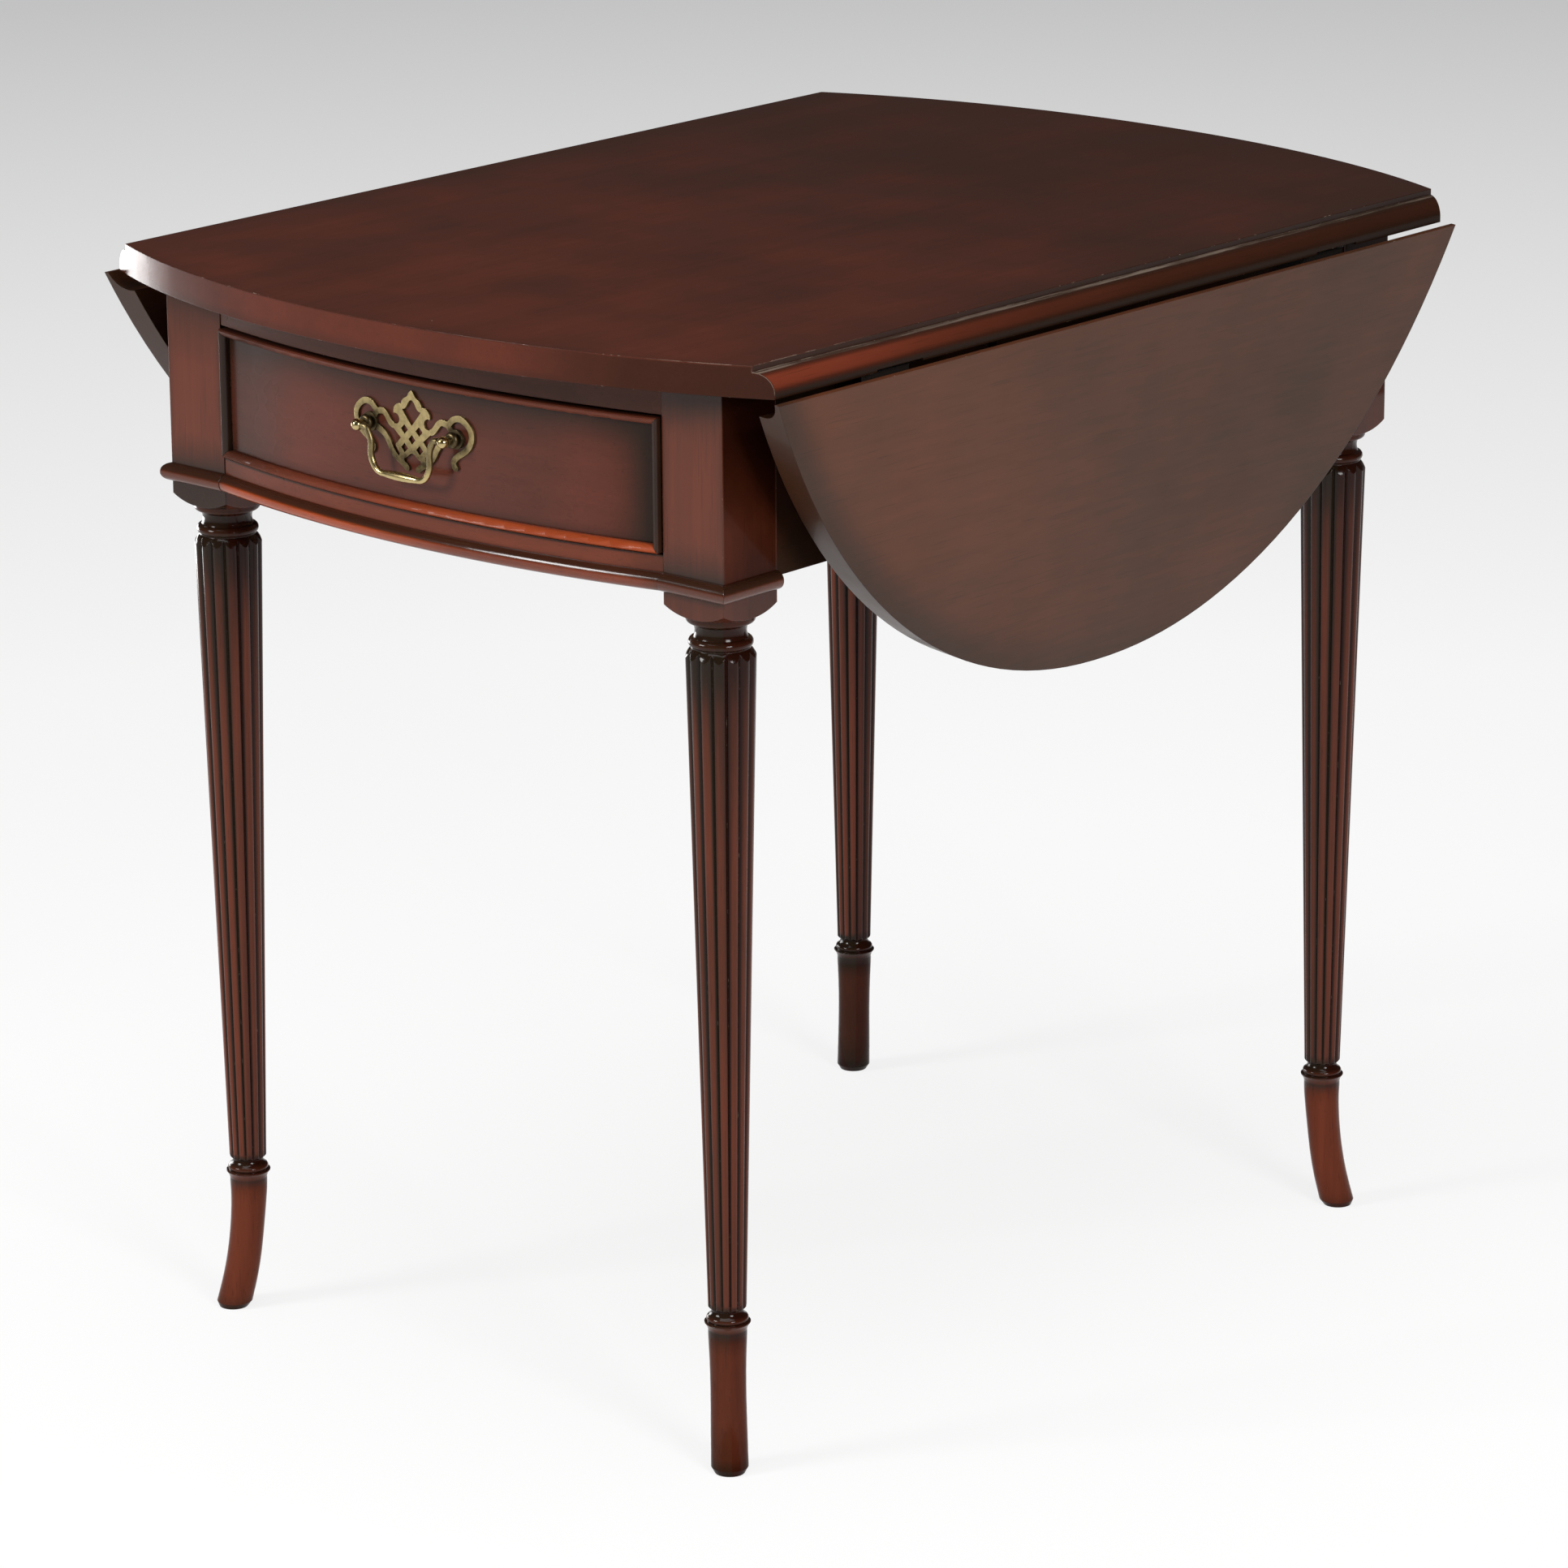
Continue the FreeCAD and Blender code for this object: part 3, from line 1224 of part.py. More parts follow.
def main():
    screws = top_screws()
    stems = pull_stems()
    build_legs()
    build_beads()
    build_carcase()
    build_kickers(screws)
    build_fly(finger_slabs(0), finger_slabs(1))
    build_top_and_leaves(screws)
    build_drawer(Part.makeCompound(stems))
    build_pull(stems)
    check_document()
    write_parts()


main()
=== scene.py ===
import math

import bmesh
import bpy
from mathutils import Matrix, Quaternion, Vector


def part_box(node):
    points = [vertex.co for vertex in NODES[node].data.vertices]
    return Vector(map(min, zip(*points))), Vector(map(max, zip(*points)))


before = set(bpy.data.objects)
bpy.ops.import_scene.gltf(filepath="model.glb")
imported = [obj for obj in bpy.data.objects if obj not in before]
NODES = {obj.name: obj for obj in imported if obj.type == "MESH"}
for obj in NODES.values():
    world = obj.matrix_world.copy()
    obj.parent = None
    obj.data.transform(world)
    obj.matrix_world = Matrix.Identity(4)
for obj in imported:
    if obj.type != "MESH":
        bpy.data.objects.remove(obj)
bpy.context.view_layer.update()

# Places read from the frame. UNDER and TOP are the heights of the top board's two faces.
LEG_LOW, LEG_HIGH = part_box("leg_rear_right")
LEG_X = (LEG_LOW.x + LEG_HIGH.x) / 2
LEG_Y = (LEG_LOW.y + LEG_HIGH.y) / 2
HEAD_HALF = (LEG_HIGH.x - LEG_LOW.x) / 2
UNDER = LEG_HIGH.z
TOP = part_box("top_board")[1].z
BEAD_BASE, BEAD_TOP = (corner.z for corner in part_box("front_rail_bead"))
PANEL_LOW, PANEL_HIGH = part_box("drawer_front")
PANEL_BASE, PANEL_TOP, PANEL_END = PANEL_LOW.z, PANEL_HIGH.z, PANEL_HIGH.x
RAIL_END, _, RAIL_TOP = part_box("front_lower_rail")[1]

# Shape of the turning, the oval, the rule joint and the pull, as in the CAD
COLLAR = 0.088
REED_FOOT, REED_TOP = 0.100, 0.4823
REED_FOOT_RADIUS, REED_TOP_RADIUS = 0.01125, 0.02005
SHOULDER = 0.507
OVAL_POWER = 2.09
OVAL_HALF_X, OVAL_HALF_Y = 0.458, 0.361
JOINT_X = 0.2458
OVOLO_FILLET = 0.0036
QUIRK = TOP - OVOLO_FILLET
HINGE_X, HINGE_Z = 0.2468, UNDER
LEAF_LEAN = math.radians(6.3)
POST_X, POST_Z = 0.0338, 0.5885

# Colours, linear
# Dark glaze, also used for painted shade
GLAZE_AND_SHADE = (0.0120, 0.0082, 0.0046, 1)
# Painted shade on the flanks of the heads
RED_SHADE = (0.014, 0.0030, 0.0012, 1)
BROWN = (0.038, 0.0122, 0.0055, 1)
RED = (0.155, 0.0340, 0.0150, 1)
# Painted light: the orange where light falls on the finish
PAINTED_GLOW = (0.33, 0.055, 0.013, 1)
TOP_BROWN = (0.039, 0.0112, 0.0056, 1)
TOP_RED = (0.158, 0.0310, 0.0150, 1)
LEAF_BROWN = (0.041, 0.0175, 0.0078, 1)
LEAF_RED = (0.120, 0.0350, 0.0140, 1)
PANEL_RED = (0.145, 0.0335, 0.0195, 1)
# Worn polish, also used for a painted highlight on the top's moulding
WORN_AND_HIGHLIGHT = (0.42, 0.33, 0.26, 1)
LINING_DARK = (0.16, 0.085, 0.04, 1)
LINING_PALE = (0.30, 0.18, 0.095, 1)
BRASS = ((0.56, 0.44, 0.21, 1), (0.085, 0.062, 0.032, 1))
IRON = ((0.16, 0.145, 0.13, 1), (0.05, 0.042, 0.038, 1))
FLOOR_WHITE = (0.94, 0.94, 0.94, 1)
ROOM_SEEN = (0.53, 0.53, 0.53, 1)
ROOM_LIGHT = (0.05, 0.05, 0.05, 1)

# Stretch of a texture's space, which draws it out along the grain
EVEN = (1, 1, 1)
ALONG = {"X": (0.05, 1, 1), "Y": (1, 0.05, 1), "Z": (1, 1, 0.05)}
STREAK = {"X": (0.02, 1, 1), "Y": (1, 0.02, 1), "Z": (1, 1, 0.02)}
FLECK = {"X": (0.10, 1, 1), "Y": (1, 0.10, 1), "Z": (1, 1, 0.10)}

# A step is written as the places where it starts and ends, then its values there unless they are 0 and 1.
# A noise is written as its scale, detail, roughness and distortion, as far as they are set.
NOISE_MEAN = 0.5
MIDDLE_FADE = (0.3, 0.7)
STREAK_FADE = (0.25, 0.75)
# Cosine between the true normal and the rounded one, from a flat place to an edge
EDGE_FADE = (0.985, 0.86)
RAY_SAMPLES = 6
# Sockets of the mix node that carry colours: share, first and second colour, and result
MIX_INPUTS = (0, 6, 7)
MIX_RESULT = 2


class Graph:
    """Node tree of one material, with a short call for each kind of node used here."""

    def __init__(self, name):
        self.material = bpy.data.materials.new(name)
        self.material.use_nodes = True
        self.tree = self.material.node_tree
        self.shader = self.tree.nodes["Principled BSDF"]
        self.place = self.add("ShaderNodeTexCoord").outputs["Object"]
        self.x, self.y, self.z = self.add("ShaderNodeSeparateXYZ", {0: self.place}).outputs

    def add(self, kind, inputs=None, **settings):
        node = self.tree.nodes.new(kind)
        for key, setting in settings.items():
            setattr(node, key, setting)
        for key, source in (inputs or {}).items():
            self.feed(node.inputs[key], source)
        return node

    def feed(self, socket, source):
        """Link a socket to another one, or set it to a value."""
        if isinstance(source, bpy.types.NodeSocket):
            self.tree.links.new(source, socket)
        else:
            socket.default_value = source

    def math(self, operation, *values):
        return self.add("ShaderNodeMath", dict(enumerate(values)), operation=operation).outputs[0]

    def largest(self, first, *others):
        for other in others:
            first = self.math("MAXIMUM", first, other)
        return first

    def product(self, first, *others):
        for other in others:
            first = self.math("MULTIPLY", first, other)
        return first

    def less(self, first, second):
        return self.math("SUBTRACT", first, second)

    def rest(self, share):
        """What a share leaves of 1."""
        return self.less(1.0, share)

    def size(self, source):
        return self.math("ABSOLUTE", source)

    def veil(self, first, second):
        """Two dark layers of glaze and painted shade, one over the other."""
        return self.rest(self.product(self.rest(first), self.rest(second)))

    def sway(self, source, amount, base):
        """Base value that a noise moves up and down."""
        return self.math("MULTIPLY_ADD", self.less(source, NOISE_MEAN), amount, base)

    def span(self, source, low, high, start=0.0, end=1.0, kind="SMOOTHSTEP"):
        """Smooth step from start to end as the source goes from low to high."""
        inputs = {"Value": source, "From Min": low, "From Max": high, "To Min": start, "To Max": end}
        return self.add("ShaderNodeMapRange", inputs, interpolation_type=kind).outputs[0]

    def line(self, *step):
        """Straight step, given like a smooth one."""
        return self.span(*step, kind="LINEAR")

    def profile(self, source, table):
        """Straight lines through a table of places and values."""
        low, high = table[0][0], table[-1][0]
        node = self.add("ShaderNodeValToRGB", {0: self.line(source, low, high)})
        stops = node.color_ramp.elements
        for stop, (_, tone) in ((stops[0], table[0]), (stops[1], table[-1])):
            stop.color = (tone, tone, tone, 1)
        for place, tone in table[1:-1]:
            stops.new((place - low) / (high - low)).color = (tone, tone, tone, 1)
        return node.outputs[0]

    def length(self, vector):
        return self.add("ShaderNodeVectorMath", {0: vector}, operation="LENGTH").outputs["Value"]

    def noise(self, stretch, scale, detail=2.0, roughness=0.5, distortion=0.0):
        stretched = self.add("ShaderNodeVectorMath", {0: self.place, 1: stretch}, operation="MULTIPLY")
        inputs = {"Vector": stretched.outputs[0], "Scale": scale, "Detail": detail, "Roughness": roughness,
                  "Distortion": distortion}
        return self.add("ShaderNodeTexNoise", inputs).outputs[0]

    def mix(self, share, first, second, blend="MIX"):
        node = self.add("ShaderNodeMix", data_type="RGBA", blend_type=blend)
        for socket, source in zip(MIX_INPUTS, (share, first, second)):
            self.feed(node.inputs[socket], source)
        return node.outputs[MIX_RESULT]

    def edges(self, radius):
        """Normal rounded over sharp edges, and a mask of those edges."""
        bevel = self.add("ShaderNodeBevel", {"Radius": radius}, samples=RAY_SAMPLES).outputs[0]
        normal = self.add("ShaderNodeNewGeometry").outputs["Normal"]
        facing = self.add("ShaderNodeVectorMath", {0: bevel, 1: normal}, operation="DOT_PRODUCT")
        return bevel, self.span(facing.outputs["Value"], *EDGE_FADE)

    def hollows(self, reach):
        """How closed in a point is, from 0 in the open to 1 in a corner."""
        node = self.add("ShaderNodeAmbientOcclusion", {"Distance": reach}, samples=RAY_SAMPLES)
        return self.rest(node.outputs["AO"])

    def bump(self, height, strength, distance, normal):
        inputs = {"Height": height, "Strength": strength, "Distance": distance, "Normal": normal}
        return self.add("ShaderNodeBump", inputs).outputs[0]

    def told(self, look):
        """Value of a look that is a number or a mask."""
        return look(self) if callable(look) else look

    def finish(self, colour, roughness, normal):
        self.feed(self.shader.inputs["Base Color"], colour)
        self.feed(self.shader.inputs["Roughness"], roughness)
        self.feed(self.shader.inputs["Normal"], normal)
        return self.material


# Mahogany: the finish where a piece doesn't say otherwise. The tint runs from brown at 0 to red at 1, and to
# the orange of painted light above that. Clouds of the given scale sway it, and so do the figure and the
# flecks. The glaze value is the most that the dark glaze and painted shade cover, gloss is the roughness
# and sheen is the specular level.
WOOD = {
    "warmth_and_light": None, "scuff_and_highlight": None, "rub": None, "deep": None,
    "brown": BROWN, "red": RED, "tint": 0.5, "cloud": 9.0, "sway": 0.5, "figure": 0.2, "fleck": 0.0,
    "streak": 0.12, "glaze_and_shade": 0.85, "hollow_grime_and_shade": 1.0, "gloss": 0.30, "wear": 0.3, "sheen": 0.27, "bump": 0.06,
}
CLOUD_DETAIL = (4.0, 0.55)
STREAK_NOISE = (230.0, 3.0, 0.6)
PORE_NOISE = (1500.0, 2.0, 0.5)
PORE_FADE = (0.60, 0.70)
PORE_GLAZE = 0.3
PORE_DEPTH = -0.6
WAVE_NOISE = (34.0, 5.0, 0.6, 0.8)
FLECK_NOISE = (190.0, 4.0, 0.62, 0.3)
FLECK_FADE = (0.32, 0.68)
RED_FADE = (0.0, 1.0)
PAINTED_GLOW_FADE = (1.0, 1.8)
HOLLOW_REACH = 0.014
HOLLOW_FADE = (0.25, 0.8)
GLAZE_AND_SHADE_SWAY = 0.4
WOOD_EDGE = 0.0007
NICK_NOISE = (160.0, 4.0, 0.7)
NICK_FADE = (0.60, 0.68)
SMEAR_NOISE = (18.0, 3.0, 0.6)
SMEAR_ROUGHNESS = (*MIDDLE_FADE, -0.04, 0.06)
WORN_ROUGHNESS = 0.3
COAT, COAT_ROUGHNESS = 0.08, 0.08
GRAIN_DEPTH = 0.0004


def mahogany(name, grain, shade, **changes):
    """Polished mahogany: figure and streaks along the grain, fine pores, dark glaze and painted shade where
    shade says, glaze and painted shade in the hollows, redder, with painted light on some pieces, where warm
    says, small worn nicks on the edges, wear and a painted highlight where scuff says, and edges worn pale
    where rub says. Where deep says, the painted shade is a dark red."""
    look = {**WOOD, **changes}
    g = Graph(name)
    cloud = g.noise(EVEN, look["cloud"], *CLOUD_DETAIL)
    streaks = g.noise(STREAK[grain], *STREAK_NOISE)
    pore = g.span(g.noise(STREAK[grain], *PORE_NOISE), *PORE_FADE)
    waves = g.span(g.noise(ALONG[grain], *WAVE_NOISE), *MIDDLE_FADE)
    tint = g.sway(waves, look["figure"], g.sway(cloud, look["sway"], look["tint"]))
    if look["fleck"]:
        flecks = g.span(g.noise(FLECK[grain], *FLECK_NOISE), *FLECK_FADE)
        tint = g.sway(flecks, look["fleck"], tint)
    # Redder, and on some pieces painted light
    if look["warmth_and_light"]:
        tint = g.math("ADD", tint, look["warmth_and_light"](g))
    colour = g.mix(g.span(tint, *RED_FADE), look["brown"], look["red"])
    # Above a tint of 1 the colour turns to the orange of painted light
    colour = g.mix(g.span(tint, *PAINTED_GLOW_FADE), colour, PAINTED_GLOW)
    tone = g.line(streaks, *STREAK_FADE, 1.0 - look["streak"], 1.0 + look["streak"])
    colour = g.mix(1.0, colour, tone, "MULTIPLY")
    colour = g.mix(g.math("MULTIPLY", pore, PORE_GLAZE), colour, GLAZE_AND_SHADE)
    # Glaze and painted shade in the hollows
    hollow_grime_and_shade = g.span(g.hollows(HOLLOW_REACH), *HOLLOW_FADE, 0.0, look["hollow_grime_and_shade"])
    # Glaze and painted shade where the shade mask says and in the hollows, swayed by the clouds
    dark = g.span(g.sway(cloud, GLAZE_AND_SHADE_SWAY, g.largest(shade(g), hollow_grime_and_shade)), 0.0, 1.0)
    glaze_and_shade = g.mix(look["deep"](g), GLAZE_AND_SHADE, RED_SHADE) if look["deep"] else GLAZE_AND_SHADE
    colour = g.mix(g.math("MULTIPLY", dark, look["glaze_and_shade"]), colour, glaze_and_shade)
    rounded, edge = g.edges(WOOD_EDGE)
    worn_and_highlight = g.product(edge, g.span(g.noise(EVEN, *NICK_NOISE), *NICK_FADE), look["wear"])
    # The scuff mask adds wear and a painted highlight
    if look["scuff_and_highlight"]:
        worn_and_highlight = g.largest(worn_and_highlight, look["scuff_and_highlight"](g))
    if look["rub"]:
        worn_and_highlight = g.largest(worn_and_highlight, g.product(edge, look["rub"](g)))
    colour = g.mix(worn_and_highlight, colour, WORN_AND_HIGHLIGHT)
    smear = g.line(g.noise(EVEN, *SMEAR_NOISE), *SMEAR_ROUGHNESS)
    roughness = g.math("MULTIPLY_ADD", worn_and_highlight, WORN_ROUGHNESS, g.math("ADD", g.told(look["gloss"]), smear))
    g.feed(g.shader.inputs["Specular IOR Level"], g.told(look["sheen"]))
    g.feed(g.shader.inputs["Coat Weight"], COAT)
    g.feed(g.shader.inputs["Coat Roughness"], COAT_ROUGHNESS)
    height = g.math("MULTIPLY_ADD", pore, PORE_DEPTH, streaks)
    return g.finish(colour, roughness, g.bump(height, look["bump"], GRAIN_DEPTH, rounded))


# Top board
RIM_FADE = (0.001, 0.005)
JOINT_FADE = (JOINT_X - 0.0008, JOINT_X + 0.0004)
FACE_FADE = (TOP - 0.0012, TOP - 0.0003)
TOP_WARM = (OVAL_HALF_Y, -OVAL_HALF_Y, -0.14, 0.16)
END_WARM = (0.16, 0.08, 0.0, 0.18)
OVOLO_LOW_FADE = (UNDER + 0.0026, UNDER + 0.0071)
OVOLO_HIGH_FADE = (QUIRK - 0.0008, QUIRK - 0.0029)
# Painted light on the ovolo, strongest at the front
OVOLO_LIGHT = (0.16, -0.32, 0.05, 0.64)
FACE_END_DARK = (0.0, 0.12, 0.30, 0.0)
FACE_SIDE_DARK = (JOINT_X - 0.05, JOINT_X, 0.0, 0.35)
# Painted shade on the ovolo further back
OVOLO_BEHIND_SHADE = (-0.31, -0.12, 0.0, 0.52)
END_RIGHT_DARK = (0.09, 0.19, 0.0, 0.62)
END_LOW_DARK = (UNDER + 0.009, UNDER, 0.0, 0.45)
# Pale line at the foot of the quirk: worn polish and a painted highlight
QUIRK_LOW_FADE = (QUIRK - 0.0007, QUIRK - 0.0003)
QUIRK_HIGH_FADE = (QUIRK + 0.0003, QUIRK)
QUIRK_NOISE = (260.0, 4.0, 0.7)
QUIRK_RUB_AND_HIGHLIGHT = (0.42, 0.75, 0.06, 0.55)
SPECK_SCALE = 15.0
SPECK_FADE = (0.017, 0.009)
SPECK_CHOICE = (0.66, 0.70)
SPECK_PALE = 0.4
CORNER_X_FADE = (0.17, 0.235)
CORNER_Y_FADE = (-0.20, -0.28)
CORNER_Z_FADE = (UNDER + 0.0016, UNDER + 0.0046)
CORNER_NOISE = (90.0, 3.0)
CORNER_RUB = (0.40, 0.56, 0.1, 0.75)
OVOLO_DULL = (QUIRK - 0.0008, QUIRK - 0.0014)
END_RIGHT_DULL = (0.09, 0.19, 0.0, 0.75)
TOP_SHEEN = (0.0, 1.0, 0.14, 0.05)
# How dark the glaze and the painted shade lie on the rule-joint moulding, by height, with painted shade low
# on the ovolo and in the quirk
JOINT_GLAZE_AND_SHADE = (
    # ovolo
    (UNDER, 1.0), (UNDER + 0.0021, 0.96), (UNDER + 0.0051, 0.62), (UNDER + 0.0076, 0.15),
    (UNDER + 0.0121, 0.05), (QUIRK - 0.0008, 0.30),
    # quirk and the square edge over it
    (QUIRK - 0.0004, 0.75), (QUIRK + 0.0003, 0.97), (TOP - 0.0006, 0.97), (TOP, 0.50),
)


def oval_reach(g, x, y):
    """0 on the rim of the open oval, rising to 1 at its centre."""
    parts = []
    for source, half in ((x, OVAL_HALF_X), (y, OVAL_HALF_Y)):
        parts.append(g.math("POWER", g.math("DIVIDE", g.size(source), half), OVAL_POWER))
    return g.rest(g.math("ADD", *parts))


def joint_side(g):
    """1 on the moulding along the long sides of the top, 0 on the ends."""
    inside = g.span(oval_reach(g, g.x, g.y), *RIM_FADE)
    return g.product(inside, g.span(g.size(g.x), *JOINT_FADE))


def top_face(g):
    """1 on the flat upper face of the top."""
    return g.span(g.z, *FACE_FADE)


def warm_top(g):
    """Redder towards the front and on the middle of the ends, and painted light on the ovolo at the front.
    """
    flat = g.line(g.y, *TOP_WARM)
    end = g.product(g.rest(top_face(g)), g.span(g.size(g.x), *END_WARM))
    band = g.product(g.span(g.z, *OVOLO_LOW_FADE), g.span(g.z, *OVOLO_HIGH_FADE), joint_side(g))
    return g.math("ADD", g.math("ADD", flat, end), g.product(band, g.span(g.y, *OVOLO_LIGHT)))


def shade_top(g):
    """Dark towards the rim; glaze and painted shade in the hollows of the moulding, with painted shade low
    on the ovolo and further back along it; dark low and on the right of the ends.
    """
    face = top_face(g)
    joint = joint_side(g)
    ends = g.span(oval_reach(g, g.x, g.y), *FACE_END_DARK)
    flat = g.product(g.largest(ends, g.span(g.size(g.x), *FACE_SIDE_DARK)), face)
    moulding = g.product(joint, g.veil(g.profile(g.z, JOINT_GLAZE_AND_SHADE), g.span(g.y, *OVOLO_BEHIND_SHADE)))
    edge = g.largest(g.span(g.x, *END_RIGHT_DARK), g.span(g.z, *END_LOW_DARK))
    return g.largest(flat, moulding, g.product(edge, g.rest(face), g.rest(joint)))


def scuff_and_highlight_top(g):
    """Pale line at the foot of the quirk, where the polish is rubbed off and a highlight is painted on the
    flat over the ovolo, and a few specks on the top.
    """
    quirk = g.product(g.span(g.z, *QUIRK_LOW_FADE), g.span(g.z, *QUIRK_HIGH_FADE), joint_side(g))
    rub = g.span(g.noise(ALONG["Y"], *QUIRK_NOISE), *QUIRK_RUB_AND_HIGHLIGHT)
    cells = g.add("ShaderNodeTexVoronoi", {"Vector": g.place, "Scale": SPECK_SCALE}).outputs
    speck = g.product(g.span(cells["Distance"], *SPECK_FADE), g.span(cells["Color"], *SPECK_CHOICE))
    return g.largest(g.product(quirk, rub), g.product(speck, top_face(g), SPECK_PALE))


def rub_top(g):
    """Edges at the front right corner, where the polish is knocked off."""
    steps = ((g.x, CORNER_X_FADE), (g.y, CORNER_Y_FADE), (g.z, CORNER_Z_FADE))
    corner = g.product(*(g.span(source, *step) for source, step in steps))
    return g.product(corner, g.span(g.noise(EVEN, *CORNER_NOISE), *CORNER_RUB))


def sheen_top(g):
    """Little mirror on the ovolo and on the right of the ends."""
    joint = joint_side(g)
    ovolo = g.product(joint, g.span(g.z, *OVOLO_DULL))
    end = g.product(g.span(g.x, *END_RIGHT_DULL), g.rest(top_face(g)), g.rest(joint))
    return g.line(g.largest(ovolo, end), *TOP_SHEEN)


# Leaves
LEAF_FRONT_DARK = (0.05, -0.17, 0.30, 0.80)
LEAF_RIM_DARK = (0.0, 0.17, 1.0, 0.0)
LEAF_EDGE_DARK = (0.006, 0.001, 0.0, 0.72)
LEAF_WARM = (0.06, -0.22, 0.0, 0.24)


def leaf_reach(g):
    """Reach inside the oval's rim for a leaf that hangs."""
    down = g.product(g.less(HINGE_Z, g.z), math.cos(LEAF_LEAN))
    inward = g.product(g.less(HINGE_X, g.size(g.x)), math.sin(LEAF_LEAN))
    return oval_reach(g, g.math("ADD", HINGE_X, g.math("ADD", down, inward)), g.y)


def shade_leaf(g):
    """Dark towards the rim, most of all at the front, and round the edge."""
    reach = leaf_reach(g)
    rim = g.product(g.span(reach, *LEAF_RIM_DARK), g.span(g.y, *LEAF_FRONT_DARK))
    return g.largest(rim, g.span(reach, *LEAF_EDGE_DARK))


def warm_leaf(g):
    """Redder towards the front end of the leaf."""
    return g.span(g.y, *LEAF_WARM)


# Legs
FLANK_FADE = (0.0, 0.0016)
REAR_FADE = (0.0, 0.02)
FOOT_FADE = (COLLAR, COLLAR - 0.010)
# Painted light low on the flanks of the heads
FLANK_LIGHT_HIGH = (UNDER - 0.0269, UNDER - 0.0769)
FLANK_LIGHT_LOW = (BEAD_BASE + 0.0002, BEAD_TOP + 0.0234, 0.0, 0.35)
HEAD_WARM_HIGH = (UNDER - 0.0369, UNDER - 0.0519)
HEAD_WARM_LEFT = (0.0, -0.02, 0.0, 0.16)
FOOT_GLOW = 0.08
FOOT_WARM_RIGHT = (0.0, 0.02, 0.08, 0.22)
SHAFT_LOW_FADE = (COLLAR, REED_FOOT)
SHAFT_BROWN = (SHOULDER + 0.001, SHOULDER - 0.001, 0.0, 0.12)
HEAD_FADE = (SHOULDER - 0.0004, SHOULDER + 0.0004)
HEAD_CORNER_DARK = (HEAD_HALF - 0.009, HEAD_HALF - 0.0005, 0.0, 0.40)
NECK_FADE = (BEAD_BASE + 0.001, BEAD_BASE - 0.001)
NECK_LEFT_DARK = (0.0, -0.02, 0.0, 0.85)
# Painted shade on the flanks towards the back
FLANK_BEHIND_SHADE = (0.016, -0.008, 0.0, 0.30)
REED_LOW_FADE = (REED_FOOT - 0.001, REED_FOOT + 0.001)
REED_HIGH_FADE = (REED_TOP + 0.003, REED_TOP)
# Painted shade between the reeds
GROOVE_SHADE = (0.925, 0.990, 1.0, 0.0)
REED_NOISE = (85.0, 3.0, 0.6)
REED_RUB_FADE = (0.48, 0.68)
REED_RUB = (REED_TOP - 0.0073, REED_TOP - 0.0823, 0.0, 0.60)
FOOT_DIAGONAL_DARK = (0.001, -0.001, -0.10, 0.16)
# Painted shade on the rear left leg
REAR_LEFT_SHADE = (0.0, -0.02, 0.0, 0.24)
LEG_GLOSS = (SHOULDER - 0.001, SHOULDER + 0.001, 0.13, 0.22)
LEG_SHEEN = (SHOULDER, SHOULDER + 0.002, 0.14, 0.27)
FLANK_DULL = (BEAD_TOP - 0.004, BEAD_TOP)
FOOT_DULL = (COLLAR - 0.004, COLLAR - 0.010, 0.0, 0.8)
DULL_SHEEN = (0.0, 1.0, 1.0, 0.08)
# How dark the glaze and the painted shade lie on the turning, by height, with painted shade in its hollows
TURNING_GLAZE_AND_SHADE = (
    # foot
    (0.0, 0.75), (0.010, 0.42), (0.030, 0.30), (COLLAR - 0.018, 0.28), (COLLAR - 0.010, 0.45),
    # collar, the bead over it and the hollow ankle
    (COLLAR - 0.0042, 0.85), (COLLAR - 0.0032, 0.50), (COLLAR + 0.0004, 0.45), (COLLAR + 0.0009, 0.95),
    (COLLAR + 0.0017, 0.62), (COLLAR + 0.0032, 0.60), (COLLAR + 0.0045, 0.92), (REED_FOOT - 0.0025, 0.90),
    # reeds
    (REED_FOOT + 0.003, 0.34), (0.20, 0.10), (0.35, 0.20), (REED_TOP - 0.0273, 0.56),
    (REED_TOP - 0.0018, 0.93),
    # groove, ring, hollow neck and step
    (SHOULDER - 0.0182, 1.0), (SHOULDER - 0.0174, 0.74), (SHOULDER - 0.0126, 0.72),
    (SHOULDER - 0.0114, 0.92), (SHOULDER - 0.0055, 0.90), (SHOULDER - 0.0035, 0.72), (SHOULDER, 0.60),
)
# How dark the glaze and the painted shade lie on the front and rear of a head, with painted shade under the
# top and round the bead
HEAD_GLAZE_AND_SHADE = (
    # rounded foot of the head and the bead round it
    (SHOULDER, 0.70), (SHOULDER + 0.0015, 0.42), (BEAD_BASE - 0.0038, 0.42), (BEAD_BASE - 0.0003, 0.68),
    (BEAD_TOP, 0.78),
    # square face
    (BEAD_TOP + 0.0049, 0.60), (BEAD_TOP + 0.0214, 0.20), (UNDER - 0.0479, 0.08), (UNDER - 0.0359, 0.16),
    (UNDER - 0.0199, 0.46), (UNDER, 0.82),
)
# How dark the painted shade lies on the flanks of a head, deepest under the top
FLANK_SHADE = (
    (SHOULDER, 0.45), (BEAD_BASE, 0.50), (BEAD_TOP, 0.62), (BEAD_TOP + 0.0284, 0.60),
    (BEAD_TOP + 0.0434, 0.74), (UNDER - 0.0519, 0.85), (UNDER - 0.0369, 0.93), (UNDER - 0.0219, 0.98),
    (UNDER, 1.0),
)


